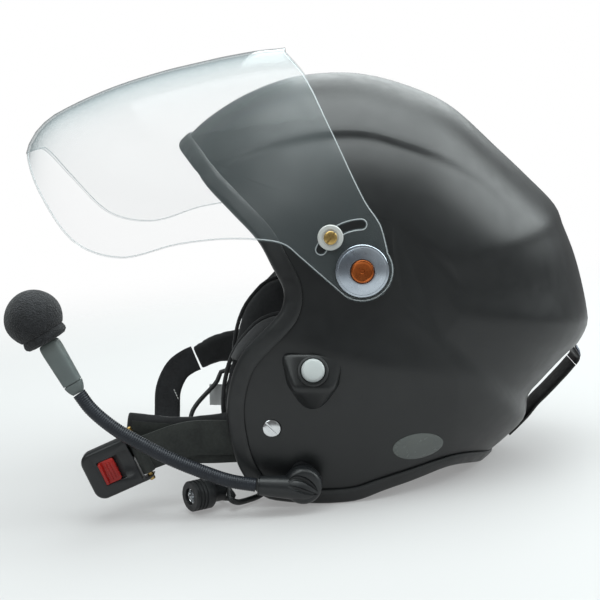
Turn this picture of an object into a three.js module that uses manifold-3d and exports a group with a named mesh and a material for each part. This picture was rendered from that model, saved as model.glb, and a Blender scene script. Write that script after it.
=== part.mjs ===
// Paramotor helmet standing on its rim, visor raised, chin strap open.
// Millimetres. The face looks along -Y, the wearer's left is +X and up is +Z.
// Everything is laid out from the ear point, on the middle plane between the ears,
// and the finished helmet is then leaned back a little and set on the ground, with its box
// centred on the origin.

import * as THREE from 'three';
import { mergeVertices } from 'three/addons/utils/BufferGeometryUtils.js';
import { ConvexGeometry } from 'three/addons/geometries/ConvexGeometry.js';
import Module from 'manifold-3d';

const wasm = await Module();
wasm.setup();

// Shell
const shellLength = 288;
const shellHalfWidth = 118;
const shellWall = 4;
const shellRoundnessPower = 2.2;
const earSwell = 7;
const flankHollow = 4;
const crownGroove = 4;
const seatGap = 0.3;
const cutOverrun = 40;
const blankStand = 0.6;

// The shell's outline on the middle plane, from the brow over the crown to the nape, then
// round the chin that the face opening cuts away: back and up from the ear point.
const shellOutlineShares = [
  [-0.455, 0.290], [-0.399, 0.344], [-0.309, 0.401], [-0.201, 0.443], [-0.094, 0.457],
  [0.004, 0.450], [0.116, 0.417], [0.204, 0.371], [0.306, 0.280], [0.383, 0.209],
  [0.450, 0.142], [0.472, 0.093], [0.500, 0.027], [0.522, -0.044], [0.538, -0.117],
  [0.539, -0.153], [0.517, -0.198], [0.488, -0.225], [0.427, -0.293], [0.398, -0.330],
  [0.389, -0.388], [0.339, -0.442], [0.290, -0.484], [0.250, -0.519], [0.180, -0.580],
  [0.080, -0.700], [-0.080, -0.830], [-0.370, -0.831], [-0.674, -0.585], [-0.780, -0.279],
  [-0.735, -0.030], [-0.640, 0.100], [-0.560, 0.184], [-0.505, 0.240],
];

// The edge of the opening as seen from the side, from the brow round the cheek to the nape.
const edgeShares = [
  [-0.455, 0.290], [-0.436, 0.278], [-0.408, 0.253], [-0.373, 0.215], [-0.322, 0.169],
  [-0.254, 0.102], [-0.223, 0.049], [-0.193, -0.014], [-0.200, -0.061], [-0.223, -0.092],
  [-0.293, -0.172], [-0.318, -0.243], [-0.323, -0.318], [-0.296, -0.436], [-0.250, -0.495],
  [-0.208, -0.505], [-0.052, -0.505], [0.019, -0.483], [0.116, -0.460], [0.191, -0.446],
  [0.243, -0.456], [0.290, -0.484],
];

// The crease under the crown panel, from the brow edge towards the back.
const creaseShares = [
  [-0.417, 0.244], [-0.319, 0.277], [-0.232, 0.307], [-0.117, 0.331], [-0.024, 0.332],
  [0.059, 0.311], [0.159, 0.274], [0.258, 0.212], [0.326, 0.142],
];
const creaseRampShare = 0.018;
const creaseFadeShare = 0.15;

// The crest of the swelling over the ears and the hollow above it, front and rear ends.
const swellCrestShares = [[-0.080, -0.167], [0.288, -0.278]];
const swellUpShare = 0.070;
const swellDownShare = 0.240;
const hollowLineShares = [[0.150, -0.010], [0.480, -0.030]];
const hollowBandShare = 0.065;

// Edge trim: a rubber bead with a slot that takes the edge of the shell
const trimLip = 1.6;
const trimDepth = 8;
const trimNose = 4.2;
const trimFootFlat = 2.2;
const trimFit = 1.4;
const trimOuterFit = 0.6;

// Linings
const linerThickness = 20;
const liningThickness = 7;
const linerDepth = 7.5;
const bandGap = 0.4;
const napePadThickness = 9;
const padFaceHalfWidth = 74;
const padBulge = 2;
const padForward = 16;
const padCrown = 2;
const padInset = 9;
const padOuterDepth = 8.4;
const padTuck = 1;
const padRearReach = 42;
const padFrontReach = 110;
const padUpReach = 58;
const padDownReach = 80;
const pocketHalfWidth = 81;
const pocketShares = [-0.146, -0.190];
const earCupRadius = 33;
const earCupDepth = 20;
const earCupWall = 2.5;
const earSealTube = 7;
const speakerRadius = 20;
const speakerDepth = 5;
const earShares = [-0.007, -0.243];

// Visor and its pivots
const pivotShares = [-0.0347, 0.0347];
const visorThickness = 2;
const visorClearance = 2;
const visorHalfWidth = shellHalfWidth + visorClearance;
const visorSpreadPower = 2.6;
const visorFlatnessPower = 2.4;
const visorArmRadius = 20;
const visorFlatShare = 0.1;
const discRadius = 16.8;
const discThickness = 2.6;
const capRadius = 7.3;
const capHeight = 3.6;
const pivotShank = 3;
const spacerRadius = 9;
const slotRadius = 29.2;
const slotHalfWidth = 2.7;
const slotFromDegrees = 91.3;
const slotToDegrees = 152.8;
const stopDegrees = 133.5;
const stopWasherRadius = 8.1;
const stopWasherThickness = 1.5;
const stopScrewRadius = 4.3;
const stopScrewHeight = 2;
const stopShank = 2.2;
const screwSlotWidth = 1.1;
const screwSlotDepth = 0.8;
const insideNutThickness = 2.4;

// The visor's profile on the middle plane: degrees above straight ahead, reach from the pivot.
const visorProfileShares = [
  [110, 0.500], [89, 0.495], [78, 0.497], [70, 0.503], [58, 0.541], [49, 0.581], [40, 0.641],
  [33, 0.701], [26.8, 0.760], [21, 0.822], [17, 0.826], [9, 0.822], [0, 0.790], [-12, 0.720],
  [-40, 0.560], [-90, 0.450], [-140, 0.420], [-180, 0.420], [-220, 0.450],
];
const visorRearShares = [
  [-0.172, 0.472], [-0.125, 0.419], [-0.070, 0.311], [0.007, 0.152], [0.040, 0.102],
  [0.058, 0.040],
];
const visorFrontShares = [
  [-0.132, 0.024], [-0.172, 0.056], [-0.231, 0.066], [-0.307, 0.066], [-0.406, 0.052],
  [-0.538, 0.017], [-0.646, 0.044], [-0.736, 0.149], [-0.785, 0.232],
];
const visorOverrunShares = [[-0.95, 0.232], [-0.95, 0.80], [-0.172, 0.80]];

// Push-to-talk button on its boss
const buttonShares = [-0.142, -0.187];
const bossTiltDegrees = 25;
const bossFace = 24;
const bossTopWidth = 43;
const bossRidgeWidth = 26;
const bossDrop = 42;
const bossRoot = 2;
const ringRadius = 10;
const ringHeight = 2;
const buttonRadius = 7.4;
const buttonHeight = 5.4;
const buttonFit = 0.4;
const buttonTravel = 1.5;
const buttonStem = 3;
const switchRadius = 7.2;
const switchDepth = 8.5;

// Chin-strap screws
const strapScrewShares = [-0.234, -0.332];
const strapScrewRadius = 5.9;
const strapScrewHeight = 2.2;
const strapScrewShank = 2.6;
const strapScrewFit = 0.5;

// Boom microphone
const boomShares = [-0.163, -0.459];
const boomFootRadius = 8;
const boomFootRise = 6;
const boomPlateRadius = 10;
const boomPlateThickness = 3;
const boomPlateStand = 0.9 * shellHalfWidth;
const boomDiscRadius = 12.5;
const boomDiscThickness = 11.4;
const boomBoltRadius = 3;
const boomBoltLength = 8;
const ferruleTaper = 5.2;
const gooseneckRadius = 4.6;
const gooseneckBore = 2.4;
const gooseneckRibCount = 48;
const ribsPerBoreRingCount = 5;
const ribDepth = 0.5;
const micLength = 37;
const micBaseWidth = 12;
const micTipWidth = 14;
const micBaseHeight = 9;
const micTipHeight = 13;
const foamRadius = 18.5;
const foamCollarRadius = 15;
const foamCollarHeight = 7;
const foamStand = 19.37;

// The gooseneck's line: back and up from the ear point, and sideways from the middle plane.
const gooseneckShares = [
  [-0.266, -0.459, 0.9787], [-0.330, -0.448, 0.9787], [-0.394, -0.426, 0.9763],
  [-0.460, -0.399, 0.9714], [-0.523, -0.367, 0.9665], [-0.588, -0.329, 0.9567],
  [-0.640, -0.286, 0.9421], [-0.668, -0.250, 0.9275],
];
const foamShares = [-0.766, -0.081, 0.8982];

// Chin strap
const strapWidth = 24;
const strapThickness = 2.4;
const strapPadThickness = 6;
const strapPadWidth = 42;
const strapHoleFit = 0.4;
const buckleLength = 40;
const buckleWidth = 30;
const buckleThickness = 11;
const buckleCorner = 6;
const buckleWall = 2.2;
const buckleTiltDegrees = 24.6;
const buckleMouthWidth = 20;
const buckleMouthHeight = 3.6;
const buckleMouthDepth = 24;
const loopRadius = 4.4;
const releaseLength = 12;
const releaseWidth = 22;
const releaseHeight = 3.4;
const releaseRib = 2.4;
const releaseTravel = 3;
const bucklePinRadius = 2;
const bucklePinLength = 36;
const rightPadWidth = 40;
const rightPadTipWidth = 20;
const webbingWidth = 20;
const webbingThickness = 2.2;
const tongueLength = 24;
const tongueWidth = 17;
const tongueThickness = 1.6;
const tongueSlotLength = 5;
const tongueGap = 0.9;

const leftStrapShares = [
  [-0.205, -0.352, 0.8396], [-0.270, -0.365, 0.7859], [-0.330, -0.372, 0.7615],
  [-0.430, -0.376, 0.7615], [-0.529, -0.4075, 0.7835],
];
const leftPadShares = [
  [-0.205, -0.350, 0.8005], [-0.270, -0.366, 0.7468], [-0.330, -0.376, 0.7224],
  [-0.430, -0.380, 0.7127], [-0.575, -0.352, 0.6932],
];
const rightPadShares = [
  [-0.205, -0.340, -0.8249], [-0.313, -0.290, -0.7664], [-0.393, -0.292, -0.7493], [-0.452, -0.316, -0.7224],
];
const webbingShares = [
  [-0.4550, -0.3173, -0.721], [-0.4735, -0.3250, -0.7139], [-0.505, -0.348, -0.7029], [-0.530, -0.400, -0.6932],
  [-0.534, -0.460, -0.6785], [-0.534, -0.530, -0.6395], [-0.534, -0.5385, -0.5614],
];
const buckleShares = [-0.590, -0.436, 0.7859];

// Leads to the radio socket
const leftLeadRadius = 2;
const rightLeadRadius = 1.8;
const grommetRadius = 3.4;
const grommetLength = 6;
const grommetHalfWidth = 79;
const leftGrommetDegrees = 228;
const rightGrommetDegrees = 196;
const socketRadius = 10.2;
const socketNeckRadius = 7;
const socketLength = 25;
const socketNeckLength = 8;
const socketBore = 5.6;
const socketBoreDepth = 14;
const socketShares = [-0.389, 0, 0.842];
const sleeveWall = 1.4;
const groundClearance = 0.4;
const restTiltDegrees = 4.1;
const footShare = -0.052;
const leftLeadShares = [
  [-0.2639, -0.5218, 0.678], [-0.2882, -0.5235, 0.7459], [-0.3160, -0.5193, 0.8262],
  [-0.3299, -0.5074, 0.8594],
];
const rightLeadShares = [
  [-0.3958, -0.3750, -0.6441], [-0.4618, -0.4514, -0.5423], [-0.4618, -0.5315, -0.4237],
  [-0.4479, -0.5357, -0.2543], [-0.4236, -0.5339, 0.0847], [-0.3958, -0.5319, 0.4662],
  [-0.3611, -0.5294, 0.6609], [-0.3316, -0.5186, 0.7542], [-0.3247, -0.5050, 0.8086],
];

// Goggle-strap retainer at the back
const retainerWidth = 30;
const retainerThickness = 2.5;
const retainerFoldShare = 0.17;
const retainerShares = [
  [0.507, -0.216], [0.522, -0.241], [0.503, -0.270], [0.474, -0.304], [0.446, -0.335],
  [0.422, -0.360], [0.401, -0.388], [0.372, -0.420], [0.354, -0.438],
];
const rivetRadius = 5;
const rivetHeight = 2;
const studShare = 0.86;
const studRadius = 5;
const studPinRadius = 1.8;
const studFit = 0.9;

// Care label sewn into the right cheek
const labelLength = 18;
const labelHeight = 17;
const labelThickness = 0.8;
const labelDegrees = 208;

const shellBlack = { color: 0x23282a, roughness: 0.42, metalness: 0.0 };
const rubberBlack = { color: 0x141617, roughness: 0.55, metalness: 0.0 };
const foamBlack = { color: 0x1a1b1d, roughness: 0.95, metalness: 0.0 };
const clothBlack = { color: 0x17181b, roughness: 0.9, metalness: 0.0 };
const clothGrey = { color: 0x3a3d3c, roughness: 0.85, metalness: 0.0 };
const linerGrey = { color: 0x4a4c4e, roughness: 0.9, metalness: 0.0 };
const clearVisor = { color: 0xc9d4dc, roughness: 0.05, metalness: 0.0, transparent: true, opacity: 0.3 };
const turnedAluminium = { color: 0xa9b4bd, roughness: 0.25, metalness: 1.0 };
const bronze = { color: 0xb5652b, roughness: 0.3, metalness: 1.0 };
const brass = { color: 0xb59a5a, roughness: 0.3, metalness: 1.0 };
const chrome = { color: 0xc8cccf, roughness: 0.12, metalness: 1.0 };
const nylonWhite = { color: 0xe6e8e6, roughness: 0.5, metalness: 0.0 };
const plasticGrey = { color: 0xc6cac8, roughness: 0.45, metalness: 0.0 };
const capsuleGrey = { color: 0x7d878a, roughness: 0.5, metalness: 0.0 };
const plasticRed = { color: 0xd2321f, roughness: 0.35, metalness: 0.0 };
const plasticBlack = { color: 0x1b1d1f, roughness: 0.4, metalness: 0.0 };
const steelDark = { color: 0x4d525c, roughness: 0.35, metalness: 0.8 };

const leftSide = 1;
const rightSide = -1;
const axisX = new THREE.Vector3(1, 0, 0);
const axisZ = new THREE.Vector3(0, 0, 1);

const helmet = new THREE.Group();

function addPiece(name, geometry, look) {
  const mesh = new THREE.Mesh(geometry, new THREE.MeshStandardMaterial(look));
  mesh.name = name;
  helmet.add(mesh);
  return mesh;
}

// Geometry helpers

function place(shares) {
  const [back, up, side = 0] = shares;
  return new THREE.Vector3(side * shellHalfWidth, back * shellLength, up * shellLength);
}

function closedBody(points, triangles) {
  const loose = new THREE.BufferGeometry().setFromPoints(points);
  loose.setIndex(triangles.flat());
  return tidyBody(loose);
}

function tidyBody(geometry) {
  const bare = new THREE.BufferGeometry();
  bare.setAttribute('position', geometry.getAttribute('position'));
  if (geometry.index) bare.setIndex(geometry.index);
  const merged = mergeVertices(bare);
  const corners = merged.index.array;
  const kept = [];
  for (let i = 0; i < corners.length; i += 3) {
    const [a, b, c] = [corners[i], corners[i + 1], corners[i + 2]];
    if (a !== b && b !== c && c !== a) kept.push(a, b, c);
  }
  merged.setIndex(kept);
  if (signedVolume(merged) < 0) {
    for (let i = 0; i < kept.length; i += 3) {
      const spare = kept[i + 1];
      kept[i + 1] = kept[i + 2];
      kept[i + 2] = spare;
    }
    merged.setIndex(kept);
  }
  merged.computeVertexNormals();
  return merged;
}

function signedVolume(geometry) {
  const position = geometry.getAttribute('position');
  const corners = geometry.index.array;
  const a = new THREE.Vector3();
  const b = new THREE.Vector3();
  const c = new THREE.Vector3();
  let volume = 0;
  for (let i = 0; i < corners.length; i += 3) {
    a.fromBufferAttribute(position, corners[i]);
    b.fromBufferAttribute(position, corners[i + 1]);
    c.fromBufferAttribute(position, corners[i + 2]);
    volume += a.dot(b.cross(c)) / 6;
  }
  return volume;
}

// A skin over rings of points. A loop joins its last ring to its first, and an open run is
// closed at both ends: by fans from the ring's middle, or by strips across the ring where its
// second half runs back beside its first.
function loft(rings, loop = false, paired = false) {
  const around = rings[0].length;
  const points = rings.flat();
  const triangles = [];
  const spans = loop ? rings.length : rings.length - 1;
  for (let i = 0; i < spans; i += 1) {
    const here = i * around;
    const next = ((i + 1) % rings.length) * around;
    for (let j = 0; j < around; j += 1) {
      const k = (j + 1) % around;
      const crossed = paired && j >= around / 2;
      if (crossed) triangles.push([here + j, next + j, here + k], [next + j, next + k, here + k]);
      else triangles.push([here + j, next + j, next + k], [here + j, next + k, here + k]);
    }
  }
  if (paired) {
    for (const [start, flip] of [[0, false], [(rings.length - 1) * around, true]]) {
      for (let j = 0; j < around / 2 - 1; j += 1) {
        const [a, b] = [start + j, start + j + 1];
        const [c, d] = [start + around - 2 - j, start + around - 1 - j];
        triangles.push(...(flip ? [[a, c, b], [a, d, c]] : [[a, b, c], [a, c, d]]));
      }
    }
  } else if (!loop) {
    for (const [start, flip] of [[0, false], [(rings.length - 1) * around, true]]) {
      const middle = new THREE.Vector3();
      for (let j = 0; j < around; j += 1) middle.addScaledVector(points[start + j], 1 / around);
      points.push(middle);
      for (let j = 0; j < around; j += 1) {
        const k = start + ((j + 1) % around);
        triangles.push(flip ? [start + j, points.length - 1, k] : [start + j, k, points.length - 1]);
      }
    }
  }
  return closedBody(points, triangles);
}

function solidOf(geometry) {
  const merged = tidyBody(geometry);
  return new wasm.Manifold(new wasm.Mesh({
    numProp: 3,
    vertProperties: new Float32Array(merged.getAttribute('position').array),
    triVerts: new Uint32Array(merged.index.array),
  }));
}

function geometryOf(solid) {
  const mesh = solid.getMesh();
  const geometry = new THREE.BufferGeometry();
  geometry.setAttribute('position', new THREE.BufferAttribute(new Float32Array(mesh.vertProperties), 3));
  geometry.setIndex([...mesh.triVerts]);
  geometry.computeVertexNormals();
  return geometry;
}

function cut(body, ...tools) {
  let solid = solidOf(body);
  for (const tool of tools) solid = solid.subtract(solidOf(tool));
  return geometryOf(solid);
}

function join(body, ...others) {
  let solid = solidOf(body);
  for (const other of others) solid = solid.add(solidOf(other));
  return geometryOf(solid);
}

function overlapOf(body, other) {
  return geometryOf(solidOf(body).intersect(solidOf(other)));
}

// A turned body about +Z: radius and height of each profile point, from axis to axis.
function turned(profile, segments = 24) {
  const points = profile.map(([radius, height]) => new THREE.Vector2(radius, height));
  return tidyBody(new THREE.LatheGeometry(points, segments).rotateX(Math.PI / 2));
}

function rod(radius, from, to, segments = 24) {
  return turned([[0, from], [radius, from], [radius, to], [0, to]], segments);
}

function tubeRing(inner, outer, from, to, segments = 24) {
  return turned([[inner, from], [outer, from], [outer, to], [inner, to], [inner, from]], segments);
}

// A plate drawn in the side view, back to the right and up, from one sideways place to another.
function sidePlate(shape, from, to, curveSegments = 6) {
  const plate = new THREE.ExtrudeGeometry(shape, { depth: to - from, bevelEnabled: false, curveSegments });
  const turn = new THREE.Matrix4().makeBasis(new THREE.Vector3(0, 1, 0), axisZ, axisX);
  return tidyBody(plate.applyMatrix4(turn).translate(from, 0, 0));
}

function seatedAlong(geometry, point, direction) {
  const turn = new THREE.Quaternion().setFromUnitVectors(axisZ, direction);
  return geometry.clone().applyQuaternion(turn).translate(point.x, point.y, point.z);
}

function mirrored(geometry) {
  return tidyBody(geometry.clone().scale(-1, 1, 1));
}

function clamp01(value) {
  return Math.min(1, Math.max(0, value));
}

// Shell surface: how far the outer face lies from the middle plane at a place in the side view

function polarRadius(points, tension) {
  const curve = new THREE.CatmullRomCurve3(points, true, 'catmullrom', tension);
  const samples = curve.getPoints(points.length * 12).map((point) => [
    Math.atan2(point.z, -point.y),
    Math.hypot(point.y, point.z),
  ]);
  samples.sort((a, b) => a[0] - b[0]);
  return (angle) => {
    const turn = Math.atan2(Math.sin(angle), Math.cos(angle));
    let high = samples.findIndex((sample) => sample[0] >= turn);
    if (high < 0) high = 0;
    const low = (high + samples.length - 1) % samples.length;
    const span = (samples[high][0] - samples[low][0] + 2 * Math.PI) % (2 * Math.PI);
    const along = span > 0 ? ((turn - samples[low][0] + 2 * Math.PI) % (2 * Math.PI)) / span : 0;
    return samples[low][1] + (samples[high][1] - samples[low][1]) * along;
  };
}

const outlineReach = polarRadius(shellOutlineShares.map(place), 0.5);
const edgeCurve = new THREE.CatmullRomCurve3(edgeShares.map(place), false, 'centripetal');
const creaseCurve = new THREE.CatmullRomCurve3(creaseShares.map(place), false, 'centripetal').getPoints(40);
const [crestFront, crestRear] = swellCrestShares.map(place);
const [hollowFront, hollowRear] = hollowLineShares.map(place);

function creaseHeight(back) {
  const first = creaseCurve[0];
  const last = creaseCurve[creaseCurve.length - 1];
  if (back <= first.y) return first.z;
  if (back >= last.y) return last.z;
  const next = creaseCurve.findIndex((point) => point.y >= back);
  const [a, b] = [creaseCurve[next - 1], creaseCurve[next]];
  return a.z + (b.z - a.z) * ((back - a.y) / (b.y - a.y));
}

function lineHeight(front, rear, back) {
  return front.z + (rear.z - front.z) * ((back - front.y) / (rear.y - front.y));
}

function grooveAt(back, up) {
  const below = (creaseHeight(back) - up) / shellLength;
  if (below <= 0) return 0;
  const ramp = clamp01(below / creaseRampShare);
  const fade = clamp01(1 - (below - creaseRampShare) / creaseFadeShare);
  const first = creaseCurve[0].y;
  const last = creaseCurve[creaseCurve.length - 1].y;
  const along = clamp01((last - back) / (last - first));
  return crownGroove * ramp * fade * fade * Math.sqrt(along);
}

function swellAt(back, up) {
  const above = (up - lineHeight(crestFront, crestRear, back)) / shellLength;
  const reach = above > 0 ? swellUpShare : swellDownShare;
  const across = Math.exp(-((above / reach) ** 2));
  const ahead = clamp01((back - place([edgeShares[12][0], 0]).y) / (crestFront.y - place([edgeShares[12][0], 0]).y));
  const behind = clamp01((place([shellOutlineShares[18][0], 0]).y - back) / (shellLength * swellDownShare));
  return earSwell * across * ahead * behind;
}

function hollowAt(back, up) {
  const off = (up - lineHeight(hollowFront, hollowRear, back)) / shellLength;
  const along = clamp01((back - crestFront.y) / (hollowRear.y - hollowFront.y));
  return flankHollow * Math.exp(-((off / hollowBandShare) ** 2)) * along;
}

function outlineShareAt(back, up) {
  return Math.hypot(back, up) / outlineReach(Math.atan2(up, -back));
}

function lateral(back, up, halfWidth = shellHalfWidth) {
  const share = Math.min(1, outlineShareAt(back, up));
  const round = (1 - share ** shellRoundnessPower) ** (1 / shellRoundnessPower);
  return round * (halfWidth + swellAt(back, up) - grooveAt(back, up) - hollowAt(back, up));
}

function shellPoint(back, up, side = leftSide) {
  return new THREE.Vector3(side * lateral(back, up), back, up);
}

// The outward direction at a place on the outer face, which holds on the middle plane too.
function shellNormal(point) {
  const step = shellLength / 600;
  const width = (back, up) => shellHalfWidth + swellAt(back, up) - grooveAt(back, up) - hollowAt(back, up);
  const level = (back, up) => (Math.abs(point.x) / width(back, up)) ** shellRoundnessPower
    + outlineShareAt(back, up) ** shellRoundnessPower;
  const wide = width(point.y, point.z);
  const slopeSide = (shellRoundnessPower / wide) * (Math.abs(point.x) / wide) ** (shellRoundnessPower - 1);
  const slopeBack = (level(point.y + step, point.z) - level(point.y - step, point.z)) / (2 * step);
  const slopeUp = (level(point.y, point.z + step) - level(point.y, point.z - step)) / (2 * step);
  return new THREE.Vector3(Math.sign(point.x) * slopeSide, slopeBack, slopeUp).normalize();
}

function drawnIn(point, depth) {
  return point.clone().multiplyScalar(1 - depth / point.length());
}

// Ground: the trim's nose under the lowest run of the edge, cut flat
const edgeLine = edgeCurve.getPoints(120);
const rimLow = Math.min(...edgeLine.map((point) => point.z));
const ground = rimLow - trimNose + trimFootFlat;
const restAngle = THREE.MathUtils.degToRad(restTiltDegrees);

// The helmet stands on both cheeks and the nape, so the ground rises slightly towards the back.
function groundAt(back) {
  return ground + (back - footShare * shellLength) * Math.tan(restAngle);
}


// The shell's skin is laid out in columns that run from the fan point over the left side to
// the boundary: the crown columns end on the middle plane and the others on the edge.
const fanShares = [0.035, 0.139];
const crownColumnCount = 18;
const edgeColumnCount = 23;
const shellRowCount = 7;
const fan = place(fanShares);

// The left half of the edge in space, at even steps along it.
function edgeInSpace(count) {
  const fine = edgeCurve.getPoints(600).map((point, i) => {
    const closing = i === 0 || i === 600;
    return new THREE.Vector3(closing ? 0 : lateral(point.y, point.z), point.y, point.z);
  });
  const run = [0];
  for (let i = 1; i < fine.length; i += 1) run.push(run[i - 1] + fine[i].distanceTo(fine[i - 1]));
  const points = [];
  for (let step = 0; step <= count; step += 1) {
    const wanted = (run[run.length - 1] * step) / count;
    const next = Math.max(1, run.findIndex((length) => length >= wanted - 1e-9));
    const share = (wanted - run[next - 1]) / (run[next] - run[next - 1]);
    points.push(fine[next - 1].clone().lerp(fine[next], share));
  }
  points[0].x = 0;
  points[count].x = 0;
  return points;
}

const edgeHalf = edgeInSpace(edgeColumnCount);

function boundaryColumns() {
  const outline = new THREE.CatmullRomCurve3(shellOutlineShares.slice(0, 23).map(place), false, 'catmullrom', 0.5);
  const crown = outline.getSpacedPoints(crownColumnCount).map((point) => ({ end: point, onMiddle: true }));
  const edge = edgeHalf.slice(1, -1).reverse();
  return [...crown, ...edge.map((point) => ({ end: new THREE.Vector3(0, point.y, point.z), onMiddle: false }))];
}

const columns = boundaryColumns();

// How far out from the fan point towards a place the outline share reaches a value.
function alongTo(end, wanted) {
  let low = 0;
  let high = 1;
  for (let step = 0; step < 30; step += 1) {
    const middle = (low + high) / 2;
    const spot = fan.clone().lerp(end, middle);
    if (outlineShareAt(spot.y, spot.z) < wanted) low = middle;
    else high = middle;
  }
  return high;
}

function alongToCrease(end) {
  for (let along = 0.2; along < 0.98; along += 0.004) {
    const spot = fan.clone().lerp(end, along);
    if (spot.z > creaseHeight(spot.y)) return along;
  }
  return null;
}

function sweepOf(share) {
  return Math.asin(Math.min(1, share) ** (shellRoundnessPower / 2));
}

function shareOf(sweep) {
  return Math.sin(sweep) ** (2 / shellRoundnessPower);
}

// One column of places on the left outer face, from the fan point to the boundary. Rows
// crowd towards the middle plane, where the face turns over, and one row keeps to the crease.
function columnPlaces({ end, onMiddle }) {
  const reached = onMiddle ? 1 : outlineShareAt(end.y, end.z);
  const start = sweepOf(outlineShareAt(fan.y, fan.z));
  const finish = sweepOf(reached);
  const turning = clamp01((reached - 0.6) / 0.35);
  const plain = [];
  for (let row = 0; row <= shellRowCount; row += 1) {
    const even = row / shellRowCount;
    const turned = even * (1 - turning);
    const swept = turning === 0 ? 0 : alongTo(end, shareOf(start + (finish - start) * even));
    plain.push(row === 0 || row === shellRowCount ? even : turned + swept * turning);
  }
  const stops = creaseStops(end, finish, plain);
  return stops.map((along, row) => {
    const spot = fan.clone().lerp(end, along);
    const closing = row === shellRowCount && onMiddle;
    return new THREE.Vector3(closing ? 0 : lateral(spot.y, spot.z), spot.y, spot.z);
  });
}

function creaseStops(end, finish, plain) {
  const lastCrease = creaseCurve[creaseCurve.length - 1];
  const crease = end.z > fan.z && end.y < lastCrease.y + shellWall ? alongToCrease(end) : null;
  if (!crease) return plain;
  const reach = end.clone().setX(0).sub(fan).length();
  const foot = crease - (creaseRampShare * shellLength) / reach;
  const below = shellRowCount - 4;
  const start = fan.clone().lerp(end, crease);
  const from = sweepOf(outlineShareAt(start.y, start.z));
  const creased = [];
  for (let row = 0; row <= below; row += 1) creased.push((foot * row) / below);
  creased.push(crease);
  for (let row = 1; row <= 3; row += 1) {
    creased.push(row === 3 ? 1 : alongTo(end, shareOf(from + ((finish - from) * row) / 3)));
  }
  const rear = clamp01((lastCrease.y - end.y) / (shellLength * creaseFadeShare));
  const room = clamp01((1 - crease) / creaseFadeShare);
  return plain.map((along, row) => along + (creased[row] - along) * rear * room);
}

// The shell, or the same skin grown by a stand-off, which clears the trim's slot.
function shellBody(stand = 0) {
  const points = [];
  const triangles = [];
  const grid = columns.map((column) => columnPlaces(column));
  for (const side of [leftSide, rightSide]) {
    const layers = [-stand, shellWall + stand].map((depth) => grid.map((places) => places.map((point) => {
      const deep = point.clone().addScaledVector(shellNormal(point), -depth);
      points.push(new THREE.Vector3(side * deep.x, deep.y, deep.z));
      return points.length - 1;
    })));
    const [outer, inner] = layers;
    for (let i = 0; i < grid.length; i += 1) {
      const n = (i + 1) % grid.length;
      for (let j = 0; j < shellRowCount; j += 1) {
        quad(triangles, outer[i][j], outer[n][j], outer[n][j + 1], outer[i][j + 1], side);
        quad(triangles, inner[i][j + 1], inner[n][j + 1], inner[n][j], inner[i][j], side);
      }
      if (!(columns[i].onMiddle && columns[n].onMiddle)) {
        quad(triangles, outer[i][shellRowCount], outer[n][shellRowCount], inner[n][shellRowCount], inner[i][shellRowCount], side);
      }
    }
  }
  return closedBody(points, triangles);
}

function quad(triangles, a, b, c, d, side) {
  if (side > 0) triangles.push([a, b, c], [a, c, d]);
  else triangles.push([a, c, b], [a, d, c]);
}

// The whole egg that the shell is cut from, a little larger: it trims what sits on the shell.
function shellBlank(stand) {
  const sweeps = 18;
  const turns = 72;
  const rings = [];
  for (let i = 0; i <= sweeps; i += 1) {
    const sweep = (Math.PI * i) / sweeps;
    const share = Math.abs(Math.sin(sweep)) ** (2 / shellRoundnessPower);
    const ring = [];
    for (let j = 0; j < turns; j += 1) {
      const turn = (2 * Math.PI * j) / turns;
      const reach = share * outlineReach(turn);
      const back = -Math.cos(turn) * reach;
      const up = Math.sin(turn) * reach;
      const side = share > 0.9999 ? 0 : lateral(back, up);
      ring.push(drawnIn(new THREE.Vector3(Math.sign(Math.cos(sweep)) * side, back, up), -stand));
    }
    rings.push(ring);
  }
  return loft(rings);
}

// Trim: one slotted section carried round the whole opening
function trimBody() {
  const slotIn = -shellWall - trimFit;
  const section = [
    [-trimDepth, trimOuterFit], [-trimDepth, trimOuterFit + trimLip * 0.4],
    [-trimDepth * 0.6, trimOuterFit + trimLip], [trimNose * 0.4, trimOuterFit + trimLip], [trimNose, -shellWall * 0.2], [trimNose, -shellWall * 0.8],
    [trimNose * 0.4, slotIn - trimLip], [-trimDepth * 0.6, slotIn - trimLip],
    [-trimDepth, slotIn - trimLip * 0.4], [-trimDepth, slotIn], [seatGap, slotIn], [seatGap, trimOuterFit],
  ];
  const half = edgeHalf.map((point, i) => {
    const closing = i === 0 || i === edgeColumnCount;
    const before = edgeHalf[Math.max(0, i - 1)];
    const after = edgeHalf[Math.min(edgeColumnCount, i + 1)];
    const along = closing ? new THREE.Vector3(i === 0 ? 1 : -1, 0, 0) : after.clone().sub(before).normalize();
    const outward = shellNormal(point);
    outward.addScaledVector(along, -outward.dot(along)).normalize();
    const ahead = along.clone().cross(outward).normalize();
    return section.map(([reach, lift]) => {
      const sag = reach < 0 ? (reach * reach) / (2 * shellHalfWidth) : 0;
      return point.clone().addScaledVector(ahead, reach).addScaledVector(outward, lift - sag);
    });
  });
  const right = half.slice(1, -1).reverse().map((ring) => ring.map((spot) => spot.clone().setX(-spot.x)));
  const below = new THREE.BoxGeometry(shellLength, 2 * shellLength, cutOverrun).translate(0, 0, -cutOverrun / 2);
  below.rotateX(restAngle).translate(0, 0, groundAt(0));
  return cut(loft([...half, ...right], true), below);
}

// Shell with its boss and its holes
const pivot = place(pivotShares);
const strapScrew = place(strapScrewShares);
const buttonSpot = place(buttonShares);
const tilt = THREE.MathUtils.degToRad(bossTiltDegrees);
const buttonAxis = new THREE.Vector3(Math.cos(tilt), 0, Math.sin(tilt));

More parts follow.
